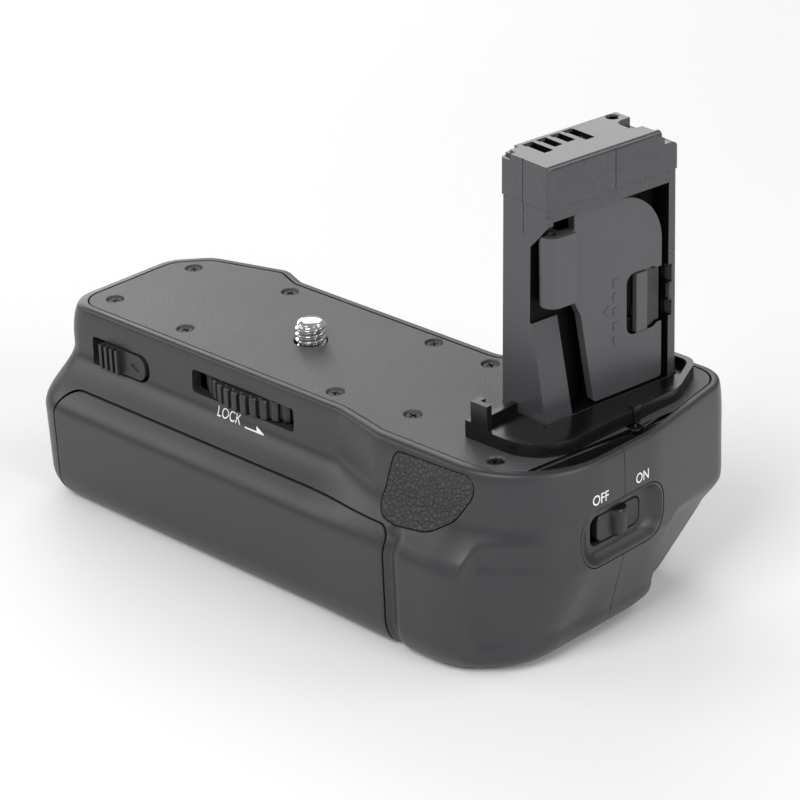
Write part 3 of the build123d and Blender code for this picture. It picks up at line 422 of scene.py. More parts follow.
# Cuts the tools off the object, or adds or keeps them, and uses them up
def boolean(obj, tools, operation="DIFFERENCE", angle=35):
    group = bpy.data.collections.new("tools")
    scene.collection.children.link(group)
    for tool in tools:
        scene.collection.objects.unlink(tool)
        group.objects.link(tool)
    mod = obj.modifiers.new("cut", "BOOLEAN")
    mod.operation = operation
    mod.solver = "EXACT"
    mod.operand_type = "COLLECTION"
    mod.collection = group
    bake(obj)
    for tool in list(group.objects):
        bpy.data.objects.remove(tool)
    bpy.data.collections.remove(group)
    keep = obj.data.materials[0]
    obj.data.materials.clear()
    obj.data.materials.append(keep)
    obj.data.polygons.foreach_set("material_index", np.zeros(len(obj.data.polygons), np.int32))
    obj.data.shade_smooth()
    obj.data.set_sharp_from_angle(angle=math.radians(angle))
    return obj


# One object from several, each face with its own material
def join(name, objs):
    bm = bmesh.new()
    mats = []
    for obj in objs:
        mat = obj.data.materials[0]
        if mat not in mats:
            mats.append(mat)
        start = len(bm.faces)
        bm.from_mesh(obj.data)
        bm.faces.ensure_lookup_table()
        for face in bm.faces[start:]:
            face.material_index = mats.index(mat)
    mesh = bpy.data.meshes.new(name)
    bm.to_mesh(mesh)
    bm.free()
    for mat in mats:
        mesh.materials.append(mat)
    for obj in objs:
        bpy.data.objects.remove(obj)
    joined = bpy.data.objects.new(name, mesh)
    scene.collection.objects.link(joined)
    return joined


def copyOf(obj, name):
    twin = bpy.data.objects.new(name, obj.data.copy())
    scene.collection.objects.link(twin)
    return twin


# Gives a finished piece its body, the CAD node that it stands for and its slot
def place(obj, body, node=None, slot=None):
    obj.data.update()
    if node:
        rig.replaces(obj, node)
    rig.ride(obj, body)
    if slot:
        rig.slot(obj, slot)
    return obj


# Housing: how far it reaches, then how far each level's sides stand in from that, with its corner radii
reach = {"left": 57.8, "right": 80.8, "rear": 29.1, "front": 42.6, "low": 31.0, "wall": 2.4}
keys = "z left rear step right grip low toe cornerR stepR endR bendR frontR toeR noseR".split()
rim = dict(zip(keys, (0.0, 4.2, 9.6, 7.4, 0.5, 0.8, 11.6, 2.5, 7.0, 10.0, 20.0, 25.0, 8.0, 4.0, 8.0)))
neck = dict(zip(keys, (8.0, 2.6, 8.7, 5.7, 0.0, 0.2, 10.6, 2.5, 6.0, 10.0, 21.0, 25.0, 8.0, 4.0, 8.0)))
neckEnd = dict(neck, z=9.5)
bulge = dict(zip(keys, (21.5, 0.0, 0.0, 0.0, 0.0, 0.0, 0.0, 0.5, 9.0, 150.0, 23.0, 25.0, 8.0, 20.0, 9.0)))
foot = dict(zip(keys, (35.0, 0.4, 0.2, 0.2, 3.6, 1.2, 0.2, 0.5, 9.0, 150.0, 19.0, 25.0, 9.0, 20.0, 9.0)))
base = dict(zip(keys, (42.0, 5.2, 5.4, 5.4, 12.0, 7.0, 6.6, 0.5, 5.0, 150.0, 12.0, 25.0, 6.0, 20.0, 6.0)))
turns = {"stepFrom": 27.5, "stepTo": 40.5, "lean": 0.3, "bendY": 13.0, "bendIn": 5.0, "gripEnd": 46.0,
         "gripFoot": 37.5, "toeEnd": -23.0, "toeFoot": -29.5, "noseIn": 6.3, "noseUp": 2.9, "noseY": 9.5}
arcCounts = [18, 12, 12, 70, 14, 16, 16, 16, 6, 8, 10, 10]  # points on each corner
lineCounts = [56, 10, 50, 22, 64, 16, 10, 36, 5, 16, 10, 16]  # and on the side after it


# The height goes between two levels by one share and all else by another
def blendLevel(a, b, heightShare, insetShare):
    out = {k: a[k] + (b[k] - a[k]) * insetShare for k in keys}
    out["z"] = a["z"] + (b["z"] - a["z"]) * heightShare
    return out


# A quarter circle to the neck, straight, half a cosine to the bulge, straight to the foot, a quarter
# circle under the base
def levelAt(z):
    if z <= neck["z"]:
        t = math.acos(1 - max(z, 0.0) / neck["z"])
        return blendLevel(rim, neck, z / neck["z"], math.sin(t))
    if z <= neckEnd["z"]:
        return dict(neck, z=z)
    if z <= bulge["z"]:
        share = (z - neckEnd["z"]) / (bulge["z"] - neckEnd["z"])
        return blendLevel(neckEnd, bulge, share, (1 - math.cos(math.pi * share)) / 2)
    if z <= foot["z"]:
        share = (z - bulge["z"]) / (foot["z"] - bulge["z"])
        return blendLevel(bulge, foot, share, share)
    share = (z - foot["z"]) / (base["z"] - foot["z"])
    return blendLevel(foot, base, share, 1 - math.sqrt(max(0.0, 1 - share * share)))


# Twelve corners moved inwards along their bisectors by the inset, then arcs and the lines between them,
# with the same number of points at every level
def outline(level, inset):
    left = -reach["left"] + level["left"]
    right = reach["right"] - level["right"]
    rear = -reach["rear"] + level["rear"]
    rearRight = -reach["rear"] + level["step"]
    grip = reach["front"] - level["grip"]
    low = reach["low"] - level["low"]
    lean = turns["lean"]
    pts = [
        ((left, rear), level["cornerR"]), ((turns["stepFrom"], rear + lean), level["stepR"]),
        ((turns["stepTo"], rearRight), level["stepR"]), ((right, rearRight + lean), level["endR"]),
        ((right, turns["bendY"]), level["bendR"]), ((right - turns["bendIn"], grip), level["frontR"]),
        ((turns["gripEnd"], grip), level["frontR"]), ((turns["gripFoot"], low), level["frontR"]),
        ((turns["toeEnd"], low), level["toeR"]), ((turns["toeFoot"], low + level["toe"]), level["toeR"]),
        ((left + turns["noseIn"], low - turns["noseUp"]), level["noseR"]), ((left, turns["noseY"]), level["noseR"]),
    ]
    count = len(pts)
    moved = []
    for i in range(count):
        here = np.array(pts[i][0])
        wayIn = here - np.array(pts[i - 1][0])
        wayOut = np.array(pts[(i + 1) % count][0]) - here
        wayIn /= np.linalg.norm(wayIn)
        wayOut /= np.linalg.norm(wayOut)
        nIn = np.array([-wayIn[1], wayIn[0]])
        nOut = np.array([-wayOut[1], wayOut[0]])
        shift = (nIn + nOut) * (inset / (1 + nIn @ nOut))
        convex = wayIn[0] * wayOut[1] - wayIn[1] * wayOut[0] > 0
        moved.append((here + shift, pts[i][1] - inset if convex else pts[i][1] + inset))
    arcs = []
    for i in range(count):
        here, radius = moved[i]
        radius = max(radius, 0.3)
        wayIn = here - moved[i - 1][0]
        wayOut = moved[(i + 1) % count][0] - here
        wayIn /= np.linalg.norm(wayIn)
        wayOut /= np.linalg.norm(wayOut)
        turn = math.atan2(wayIn[0] * wayOut[1] - wayIn[1] * wayOut[0], wayIn @ wayOut)
        start = here - wayIn * (radius * math.tan(abs(turn) / 2))
        side = np.array([-wayIn[1], wayIn[0]]) * (1 if turn > 0 else -1)
        middle = start + side * radius
        spoke = start - middle
        arcs.append([middle + np.array([spoke[0] * math.cos(a) - spoke[1] * math.sin(a),
                                        spoke[0] * math.sin(a) + spoke[1] * math.cos(a)])
                     for a in np.linspace(0, turn, arcCounts[i] + 1)])
    loop = []
    for i in range(count):
        loop.extend(arcs[i])
        end, start = arcs[i][-1], arcs[(i + 1) % count][0]
        for t in np.linspace(0, 1, lineCounts[i] + 2)[1:-1]:
            loop.append(end + (start - end) * t)
    return np.array(loop)


# 0 below low, 1 above high, three t squared less two t cubed between them
def step(x, low, high):
    t = np.clip((x - low) / (high - low), 0, 1)
    return t * t * (3 - 2 * t)


# The unit normal that points inwards at each point, square to the line between its neighbours
def inwardOf(loop):
    ahead = np.roll(loop, -1, 0) - np.roll(loop, 1, 0)
    ahead /= np.linalg.norm(ahead, axis=1)[:, None]
    return np.column_stack([-ahead[:, 1], ahead[:, 0]])


# Depths are how far the skin moves in; each pair is where an edge starts and ends
relief = {
    "rear": (-2.0, 6.0),
    "valley": {"deep": 0.95, "x": 49.1, "wide": 1.25, "top": (15.3, 17.6)},
    "dimple": {"deep": 2.2, "left": (66.2, 68.6), "right": (73.0, 81.0), "top": (13.5, 19.0), "low": (33.5, 41.0)},
    "crown": {"deep": -0.35, "left": (50.4, 52.0), "right": (65.4, 66.8), "top": (15.6, 17.8)},
}
scoop = {"x": 79.6, "y": 16.6, "z": 20.0, "round": 6.0, "perY": 0.26, "perDepth": 0.433,
         "edge": (-0.3, 2.6), "widen": 0.23, "widenFrom": 23.0, "share": 0.995, "fromX": 50}


# Rear skin: a bell-shaped valley, a dimple and a low crown, each a product of smooth steps. Scoop: where
# the end stands past a leaning plane it goes back to it, inside a rounded corner
def sculpt(loop, z):
    x, y = loop[:, 0], loop[:, 1]
    valley, dimple, crown = relief["valley"], relief["dimple"], relief["crown"]
    depth = valley["deep"] * np.exp(-((x - valley["x"]) / valley["wide"]) ** 2) * step(z, *valley["top"])
    depth = depth + (dimple["deep"] * step(x, *dimple["left"]) * (1 - step(x, *dimple["right"]))
                     * step(z, *dimple["top"]) * (1 - step(z, *dimple["low"])))
    depth = depth + crown["deep"] * step(x, *crown["left"]) * (1 - step(x, *crown["right"])) * step(z, *crown["top"])
    depth = step(-y, *relief["rear"]) * depth
    r = scoop["round"]
    across, down = y - scoop["y"], z - scoop["z"]
    corner = np.stack([r - across, np.full(len(y), r - down)])
    within = r - np.hypot(*np.maximum(corner, 0)) - np.minimum(corner.max(0), 0)
    wider = 1 + scoop["widen"] * np.maximum(0, y - scoop["widenFrom"])
    leaning = scoop["x"] - scoop["perY"] * across - scoop["perDepth"] * down
    cut = scoop["share"] * np.maximum(0, x - leaning) * step(within / wider, *scoop["edge"])
    moved = loop + inwardOf(loop) * depth[:, None]
    moved[:, 0] -= cut * (x > scoop["fromX"])
    return moved


# Depths of the loops below the plate: close together where the form turns
heights = list(8 * (1 - np.cos(np.linspace(0.12, math.pi / 2, 12)))) + [8.8]
heights = [0.0, 0.12, 0.3, 0.6] + [h for h in heights if h > 0.8]
heights += list(np.linspace(9.5, 21.5, 27)) + list(np.linspace(21.5, 35.0, 37)[1:])
heights += list(35.0 + 7.0 * np.sin(np.linspace(0, math.pi / 2, 18)[1:]))
rimRound = 0.5


# A quarter round on the rim: how far it stands in at a depth
def rimEase(z):
    r = rimRound
    return r - math.sqrt(max(0.0, r * r - (r - z) ** 2)) if z < r else 0.0


outerLoops = []
for z in heights:
    loop = sculpt(outline(levelAt(z), 0.0), z)
    if rimEase(z):
        loop = loop + inwardOf(loop) * rimEase(z)
    outerLoops.append(planeXY(loop, -z))


# What read() finds on the loops above and below a depth, mixed by how far the depth lies between them
def atDepth(depth, read):
    upper = max([i for i, h in enumerate(heights) if h <= depth] or [0])
    lower = min(upper + 1, len(heights) - 1)
    share = (depth - heights[upper]) / max(1e-6, heights[lower] - heights[upper])
    above, below = read(outerLoops[upper]), read(outerLoops[lower])
    return above + (below - above) * share


# The rear skin's y over an x
def rearY(x, depth):
    def read(loop):
        rear = loop[loop[:, 1] < 0]
        order = np.argsort(rear[:, 0])
        return np.interp(x, rear[order, 0], rear[order, 1])
    return atDepth(depth, read)


# The end skin's x over a y
def endX(y, z):
    def read(loop):
        end = loop[(loop[:, 0] > 66) & (loop[:, 1] < 30)]
        order = np.argsort(end[:, 1])
        return np.interp(y, end[order, 1], end[order, 0])
    return atDepth(-z, read)


wall = reach["wall"]
innerHeights = [3.8, 4.6, 6.0, 7.4, 8.0] + list(np.linspace(9.5, 21.5, 13))
innerHeights += [26.0, 30.5, 35.0, 36.6, 38.0, 39.0, 39.6]
housing = loopSolid("housing", outerLoops[::-1], "housing", 40)
roomLoops = [planeXY(outline(levelAt(0.0), inset), z)
             for inset, z in ((1.3, 3.0), (1.3, -2.2), (3.4, -2.2), (3.4, -3.8))]
room = cutter(roomLoops + [planeXY(outline(levelAt(z), wall), -z) for z in innerHeights])
print("stage: housing form", len(housing.data.polygons))

# Openings in the housing. Each list of points is an outline on the side that it opens
tray = {"left": -49.5, "right": 47.5, "top": -16, "radii": [6.0, 0, 0, 2.5], "gap": 0.18, "back": -14.1}
thumb = {"points": [(46.0, -1.6), (66.0, -1.2), (65.4, -5.6), (61.6, -11.2), (56.6, -14.6), (48.6, -15.5), (42.4, -14.6)],
         "radii": [2.0, 2.6, 4.0, 6.0, 8.0, 3.0, 3.0], "seatGap": 0.14, "gap": 0.12}
frontPad = {"points": [(47.0, -5.0), (47.0, -26.0), (72.0, -26.0), (72.0, -5.0)], "seatR": 5.2, "round": 5.0, "gap": 0.15}
latchSlot = {"points": [(-45.3, -11.45), (-27.6, -11.45), (-27.6, -5.35), (-45.3, -5.35)], "radii": [1.0, 2.6, 2.6, 1.0]}
facet = {"middle": (64.0, 36.2, -36.5), "slope": 0.98, "y": 42.65, "z": -29.95, "top": -5.0, "foot": -66.5,
         "rounds": ((46.0, 3.0), (63.5, 3.0), (66.0, 5.0), (69.0, 11.0), (71.0, 14.0), (farOut, 14.0))}
seat = {"y": 3.35, "z": -16.1, "halfW": 12.1, "halfH": 6.3, "round": 5.4}
tripod = {"radius": 5.15}
baseScrew = {"x": 51.5, "radius": 1.85, "rear": -8.0, "front": 14.0}


# The tray's opening, larger or smaller all round by grow
def trayOutline(grow):
    left, right, top = tray["left"] - grow, tray["right"] + grow, tray["top"] + grow
    return roundPoly([(left, top), (left, -farOut), (right, -farOut), (right, top)], tray["radii"], 14)


# Moves each side of a polygon out along its normal by the same amount
def growPoly(pts, amount):
    pts = np.asarray(pts, float)
    ahead = np.roll(pts, -1, 0) - pts
    ahead /= np.linalg.norm(ahead, axis=1)[:, None]
    area = np.sum(pts[:, 0] * np.roll(pts[:, 1], -1) - np.roll(pts[:, 0], -1) * pts[:, 1])
    normal = np.column_stack([ahead[:, 1], -ahead[:, 0]]) * (1 if area > 0 else -1)
    before = np.roll(normal, 1, 0)
    return pts + (normal + before) * (amount / (1 + np.sum(normal * before, 1)))[:, None]


def thumbOutline(grow):
    return growPoly(roundPoly(thumb["points"], thumb["radii"], 8), grow)


# The scoop's leaning plane, moved in by the wall, for the room inside
def scoopTool(inset):
    y, z = scoop["y"] - inset, -scoop["z"] + inset
    pts = roundPoly([(y, z), (y, -farOut), (farOut, -farOut), (farOut, z)], [scoop["round"], 0, 0, 0], 16)
    leaning = scoop["x"] - inset - 0.3 * (pts[:, 0] - y) - scoop["perDepth"] * (z - pts[:, 1])
    return cutter([np.column_stack([leaning, pts]), planeYZ(pts, farOut)])


slant = math.hypot(1, facet["slope"])
facetFrame = Matrix.Translation(Vector(facet["middle"]) * mm) @ Matrix(
    [[1, 0, 0], [0, facet["slope"] / slant, 1 / slant], [0, 1 / slant, -facet["slope"] / slant]]).to_4x4()


# Everything beyond the button's slanted facet, moved in by the wall
def facetTool(inset):
    tool = box(-18 - inset, 18 + inset, -30, 30, -inset, 30)
    tool.data.transform(facetFrame)
    return tool


# The same facet with its upper edge rolled over an arc that widens towards the end
def facetRound():
    sections = []
    for x, radius in facet["rounds"]:
        turn = math.atan2(1, facet["slope"])
        start = facet["z"] + radius * math.tan(turn / 2)
        arc = [(facet["y"] - radius + radius * math.cos(a), start - radius * math.sin(a))
               for a in np.linspace(0, math.pi / 2 - turn, 13)]
        end = (facet["middle"][1] - facet["slope"] * 30, facet["foot"])
        pts = [(farOut, facet["top"]), (facet["y"], facet["top"])] + arc + [end, (farOut, facet["foot"])]
        sections.append(planeYZ(np.array(pts), x))
    return cutter(sections)


def buttonTool(r, low, high):
    tool = rod(-6.5, 0, low, high, r)
    tool.data.transform(facetFrame)
    return tool


# The bezel's seat in the end wall, larger all round by grow
def seatTool(grow):
    w, h = seat["halfW"], seat["halfH"]
    pts = rect(seat["y"] - w - grow, seat["z"] - h - grow, seat["y"] + w + grow, seat["z"] + h + grow,
               seat["round"] + grow, 12)
    return prismYZ(pts, 70.0, 100.0)


def baseHole(x, y, r):
    return rod(x, y, -45.0, -38.0, r)


splitY, seam = 3.4, 0.07  # where the shells part, and half the gap between them
strip = {"left": -49.5, "right": 47.5, "rear": -14.0}  # the base strip that stays on the front shell
boolean(room, [scoopTool(wall), facetTool(wall)], "DIFFERENCE", 40)
boolean(housing, [facetRound(), seatTool(0.06), room], "DIFFERENCE", 40)
rearShell = copyOf(housing, "rearShell")
panel = copyOf(housing, "trayPanel")
pad = copyOf(housing, "thumbPad")
grip = copyOf(housing, "frontGrip")
frontShell = housing
frontShell.name = "frontShell"
boolean(frontShell, [
    box(-farOut, strip["left"] + seam, -farOut, splitY + seam, -farOut, farOut),
    box(strip["right"] - seam, farOut, -farOut, splitY + seam, -farOut, farOut),
    box(strip["left"], strip["right"], -farOut, splitY + seam, -35, farOut),
    box(strip["left"], strip["right"], -farOut, strip["rear"] + seam, -farOut, -30),
    box(-14.4, 15.2, 0, farOut, -8.8, -3.7),  # wheel window
    prismXZ(roundPoly(frontPad["points"], frontPad["seatR"], 10), 30.0, farOut),
    buttonTool(5.45, -20.0, 20.0),
    baseHole(0, 0, tripod["radius"]), baseHole(baseScrew["x"], baseScrew["front"], baseScrew["radius"]),
], "DIFFERENCE", 40)
boolean(rearShell, [
    box(-farOut, farOut, splitY - seam, farOut, -farOut, farOut),
    prismXZ(trayOutline(tray["gap"]), -farOut, 10.0),
    prismXZ(roundPoly(latchSlot["points"], latchSlot["radii"], 8), -farOut, -5.0),
    prismXZ(rect(-14.4, -8.8, 15.2, -3.7, 0.9, 6), -farOut, -5.0),  # wheel window
    prismXZ(thumbOutline(thumb["seatGap"]), -farOut, -5.0),
    baseHole(baseScrew["x"], baseScrew["rear"], baseScrew["radius"]),
], "DIFFERENCE", 40)
boolean(panel, [prismXZ(trayOutline(-tray["gap"]), -farOut, tray["back"])], "INTERSECT", 40)
boolean(pad, [prismXZ(thumbOutline(-thumb["gap"]), -farOut, -5.0)], "INTERSECT", 40)
smaller = growPoly(frontPad["points"], -frontPad["gap"])
boolean(grip, [prismXZ(roundPoly(smaller, frontPad["round"], 10), 30.0, farOut)], "INTERSECT", 40)
for obj in (pad, grip):
    obj.data.materials.clear()
    obj.data.materials.append(looks["pad"])
place(rearShell, "housing", "rear_shell", "housing")
place(frontShell, "housing", "front_shell", "housing")
place(panel, "tray", "tray_panel", "housing")
place(pad, "housing", "thumb_pad", "pad")
place(grip, "housing", "front_grip", "pad")
print("stage: shells", len(rearShell.data.polygons), len(frontShell.data.polygons))

# The stalk's own frame: u across it towards the switch end, v along it, z up
stalkTurn = Matrix.Translation(Vector((64.0, 0, 0)) * mm) @ Matrix.Rotation(math.radians(-6.87), 4, "Z")
stalkBack = np.array(stalkTurn.inverted())


def inStalk(obj):
    obj.data.transform(stalkTurn)
    return obj


# A copy of a CAD node's mesh, with its points merged and flat parts made one face
def fromNode(name, look):
    source = frame["nodes"][name]
    bm = bmesh.new()
    bm.from_mesh(source.data)
    bm.transform(source.matrix_world)
    bmesh.ops.remove_doubles(bm, verts=bm.verts, dist=1e-5)
    bmesh.ops.dissolve_limit(bm, angle_limit=math.radians(1.0), verts=bm.verts, edges=bm.edges)
    mesh = bpy.data.meshes.new(name + "Form")
    bm.to_mesh(mesh)
    bm.free()
    obj = bpy.data.objects.new(name + "Form", mesh)
    scene.collection.objects.link(obj)
    mesh.materials.append(looks[look])
    return obj


# A second look on the faces whose centre, in the stalk's frame, passes the test
def paint(obj, look, test):
    obj.data.materials.append(looks[look])
    for face in obj.data.polygons:
        if test(*(stalkBack @ np.array([*face.center, 1.0]))[:3] / mm):
            face.material_index = 1


def stalkBox(u0, u1, v0, v1, z0, z1):
    return inStalk(box(u0, u1, v0, v1, z0, z1))


# Cap: the head of the stalk, with its contact slots, hole, notches and parting grooves
cap = {"top": 52.9, "seam": 44.2, "proud": 0.2, "wide": 13.2, "long": 34.2, "frontR": 0.95, "farR": 2.3,
       "shoulder": 2.9, "draft": (1.3, 0.3), "slotDeep": 3.0, "hole": (-11.8, 28.1, 0.0), "holeR": (1.1, 1.45)}
slots = [(-12.2, -6.4, 6.0, 8.2), (-12.2, -7.5, 9.5, 11.5), (-12.2, -7.7, 12.9, 14.9), (-12.3, -6.2, 16.2, 18.4)]
capTop = cap["top"]


# A rounded rectangle between the drafted sides, cut off where the front edge and the far shoulder round over
def capLoop(z, inset):
    near = cap["draft"][0] * z / capTop - cap["proud"] + inset
    far = cap["long"] - cap["draft"][1] * z / capTop + cap["proud"] - inset
    pts = rect(-cap["wide"] - cap["proud"] + inset, near, cap["proud"] - inset, far, 0.8, 6)
    frontR, farR = cap["frontR"], cap["farR"]
    if z > capTop - frontR:
        edge = cap["proud"] - frontR + math.sqrt(max(0.0, frontR ** 2 - (z - capTop + frontR) ** 2))
        pts[:, 0] = np.minimum(pts[:, 0], edge)
    shoulder = capTop - cap["shoulder"]
    if z > shoulder - farR:
        rise = min(z - shoulder + farR, farR)
        pts[:, 1] = np.minimum(pts[:, 1], far - farR + math.sqrt(max(0.0, farR ** 2 - rise ** 2)) + 0.2)
    return planeXY(pts, z)


capHeights = [cap["seam"] + 0.04, cap["seam"] + 0.14, 46.0, 47.8, 48.4, 48.9, 49.3, 49.6, 49.8, 49.94, 50.0, 50.5, 51.4]
capHeights += list(capTop - 0.95 + 0.95 * np.sin(np.linspace(0, math.pi / 2, 9)))
capLoops = [capLoop(z, 0.1 if z < cap["seam"] + 0.1 else 0.0) for z in capHeights]
capSolid = inStalk(loopSolid("stalkCap", capLoops, "cap"))
tools = [stalkBox(u0, u1, v0, v1, capTop - cap["slotDeep"], 60) for u0, u1, v0, v1 in slots]
tools += [stalkBox(u0 - 0.35, u0 + 1.0, v0 - 0.3, v1 - 0.2, capTop - 0.5, 60) for u0, u1, v0, v1 in slots]
small, large = cap["holeR"]
holeRings = [ring(r, z, 24) + cap["hole"] for r, z in ((small, 48), (small, capTop - 0.3), (large, capTop), (large, 60))]
tools += [inStalk(cutter(holeRings))]
notch = np.array([(-9.4, 60.0), (-9.4, 27.9), (-9.0, 26.9), (-8.1, 26.3), (-4.35, 26.1), (-4.35, 60.0)])
tools += [inStalk(cutter([planeXY(notch, capTop - 2.3), planeXY(notch, 60)]))]
# Far steps, near corner steps, then the parting grooves
for u0, u1, v0, v1, z0 in ((-4.4, -1.05, 28.8, 60, capTop - 1.0), (-20, 5, 30.4, 60, capTop - 2.9),
                           (-1.1, 5, 29.7, 60, capTop - 1.6), (-20, -10.4, -5, 2.4, capTop - 1.3),
                           (-20, -12.2, -5, 4.6, capTop - 0.8), (-0.05, 5, 17.82, 17.98, 40),
                           (-7.03, -6.87, -5, 1.32, 40)):
    tools += [stalkBox(u0, u1, v0, v1, z0, 60)]
boolean(capSolid, tools)
# painted shade: the faces deep in the contact slots and the hole take the near-black recess look
paint(capSolid, "recess", lambda u, v, z: 49.0 < z < capTop - 0.6 and (
    (-12.6 < u < -6.0 and 5.5 < v < 19.0) or (-13.1 < u < -10.5 and 26.8 < v < 29.4)))
soften(capSolid, 0.10)
place(capSolid, "housing", "stalk_cap", "stalk")

# Stalk body: the drafted column, with its corner filled and its recess cut further than its CAD solid's
column = {"corner": [(-6.6, 43.0), (0.0, 43.0), (0.0, 41.2), (-0.5, 40.6), (-2.8, 38.1), (-5.65, 35.2), (-6.6, 35.2)],
          "back": 2.3, "edge": 0.12}
stalkBody = fromNode("stalk_body", "stalk")
front = np.array([(u, cap["draft"][0] * z / capTop + 0.004, z) for u, z in column["corner"]])
back = np.array([(u, column["back"], z) for u, z in column["corner"]])
boolean(stalkBody, [inStalk(cutter([front, back]))], "UNION")
boolean(stalkBody, [
    stalkBox(-4.5, 5, 19.5, 31.82, 30.2, 41.88),  # opening's corner
    stalkBox(-2.0, 5, 31.0, 32.7, 21.2, 24.8), stalkBox(-2.0, 5, 31.0, 32.7, 14.1, 17.3),  # frame notches
    stalkBox(-7.03, -6.87, -5, 1.22, 38, 50),  # parting groove
])
# painted shade: the recess faces behind the door take the near-black recess look
paint(stalkBody, "recess", lambda u, v, z: -6.5 < u < -0.75 and 1.6 < v < 32.69 and 1.0 < z < 42.1)
soften(stalkBody, column["edge"])
stalkBody.data.shade_flat()
stalkBody.modifiers.remove(stalkBody.modifiers["evened"])
place(stalkBody, "housing", "stalk_body", "stalk")
nubLoops = [planeYZ(rect(31.7, 17.35, 33.3, 21.15, 0.75, 5), u) for u in (-0.6, 0.3)]
nubLoops += [planeYZ(rect(31.9, 17.55, 33.1, 20.95, 0.6, 5), 0.5)]
nub = inStalk(loopSolid("frameNub", nubLoops, "stalk"))
place(nub, "housing", None, "stalk")

# Stored door, with plain raised dashes and an arrow
door = {"dashes": 5, "dashTop": 25.6, "dashStep": 3.0, "dashLong": 1.7, "markBack": -0.75, "markFace": -0.42,
        "arrow": [(15.4, 19.3), (16.9, 17.9), (16.9, 20.7)], "edge": 0.16}
storedDoor = fromNode("stored_door", "door")
tools = []
for k in range(door["dashes"]):
    z0 = door["dashTop"] - door["dashStep"] * k
    tools.append(stalkBox(door["markBack"], door["markFace"], 17.9, 18.9, z0 - door["dashLong"], z0))
tools.append(inStalk(prismYZ(roundPoly(door["arrow"], 0.15, 3), door["markBack"], door["markFace"])))
boolean(storedDoor, tools, "UNION")
boolean(storedDoor, [stalkBox(-20, 5, -3, 8.1, 38.6, 45), stalkBox(-1.72, 5, 27.5, 32, 13.3, 24.9)])
# painted shade: the latch pocket's faces take the near-black recess look
paint(storedDoor, "recess", lambda u, v, z: -1.76 < u < -0.9 and 21.3 < v < 29.9 and 12.5 < z < 25.5)
soften(storedDoor, door["edge"])
place(storedDoor, "door", "stored_door", "stalk")

# Door latch: a bar on a sunk slide, a lit and a shaded copy of one piece: the proud bar is painted in the door's
# lighter look and the sunk slide keeps the darker knob look as painted shade
doorLatch = fromNode("door_latch", "knob")
boolean(doorLatch, [stalkBox(-1.68, -1.15, 28.0, 30.3, 13.6, 24.6)], "UNION")
boolean(doorLatch, [stalkBox(-1.15, 5, 26.5, 40, 0, 40), stalkBox(-0.25, 5, -5, 40, 0, 40)])
# painted light and shade: the proud bar takes the door's lighter colour while the sunk slide stays darker
paint(doorLatch, "door", lambda u, v, z: u > -1.1)
soften(doorLatch, 0.3)
place(doorLatch, "door_slider", "door_latch", "knob")
print("stage: stalk")

# Fixing screw with its thread, bright above the plate and dark below
screw = {"crest": 3.175, "root": 2.45, "pitch": 1.27, "from": -1.6, "to": 4.0, "fade": 0.6, "seg": 96, "rows": 86,
         "spindle": ((2.6, -16.4), (2.8, -16.2), (2.8, -3.5), (5.1, -3.5), (5.2, -3.4), (5.2, -2.6), (5.1, -2.5),
                     (2.9, -2.5)), "domeR": 2.62, "domeZ": 4.05, "domeHigh": 0.55, "darkBelow": -0.9}


# Radius is the root plus a ridge: height over pitch less the turn tells how far a point is from the crest
def threadLoops():
    z0, z1, rise = screw["from"], screw["to"], screw["crest"] - screw["root"]
    a = np.linspace(0, 2 * math.pi, screw["seg"], endpoint=False)
    loops = []
    for z in np.linspace(z0, z1, screw["rows"]):
        phase = (z / screw["pitch"] - a / (2 * math.pi)) % 1.0
        ridge = np.clip(1.25 - 2.5 * np.abs(phase - 0.5), 0, 0.82) / 0.82
        near = min(1.0, (z - z0) / screw["fade"], (z1 - z) / screw["fade"])
        r = screw["root"] + rise * ridge * (0.15 + 0.85 * max(0.0, near))
        loops.append(np.column_stack([r * np.cos(a), r * np.sin(a), np.full(screw["seg"], z)]))
    return loops


spindle = [ring(r, z, screw["seg"]) for r, z in screw["spindle"]]
dome = [ring(screw["domeR"] * math.cos(t), screw["domeZ"] + screw["domeHigh"] * math.sin(t), screw["seg"])
        for t in np.linspace(0.1, 1.5, 9)]
screwSolid = loopSolid("cameraScrew", spindle + threadLoops() + dome, "bright", 50)
paint(screwSolid, "darkSteel", lambda u, v, z: z < screw["darkBelow"])
place(screwSolid, "wheel", "camera_screw", "bright")

# Wheel with its ribs: one rib's outline by share of a tooth, repeated all round
wheel = {"teeth": 54, "radius": 21.8, "deep": 0.95, "bore": 2.8,
         "share": (0.0, 0.04, 0.10, 0.30, 0.50, 0.56, 0.60, 0.64, 0.80, 0.96),
         "drop": (0.14, 0.04, 0.0, -0.04, 0.0, 0.04, 0.14, 1.0, 1.0, 1.0),
         "edges": ((-8.6, 0.9), (-8.55, 0.35), (-8.3, 0.08), (-8.0, 0.0), (-4.8, 0.0), (-4.5, 0.08), (-4.25, 0.35), (-4.2, 0.9)),
         "hub": [(2.82, -8.95), (6.3, -8.95), (6.5, -8.8), (6.5, -8.61)]}


# The radius drops by the tooth's depth times the outline, never past the wheel's own
def wheelLoop(z, inset):
    teeth = wheel["teeth"]
    a = (np.arange(teeth)[:, None] + np.array(wheel["share"])[None, :]) * 2 * math.pi / teeth
    r = wheel["radius"] - inset - wheel["deep"] * np.tile(wheel["drop"], (teeth, 1))
    a, r = a.ravel(), np.minimum(r.ravel(), wheel["radius"])
    return np.column_stack([r * np.cos(a), r * np.sin(a), np.full(len(a), z)])


wheelSolid = loopSolid("lockWheel", [wheelLoop(z, inset) for z, inset in wheel["edges"]], "knob", 38)
boolean(wheelSolid, [rod(0, 0, -20, 0, wheel["bore"])])
boolean(wheelSolid, [lathe("hub", wheel["hub"], "knob", 48)], "UNION")
boolean(wheelSolid, [rod(0, 0, -20, 0, wheel["bore"])])
place(wheelSolid, "wheel", "lock_wheel", "knob")

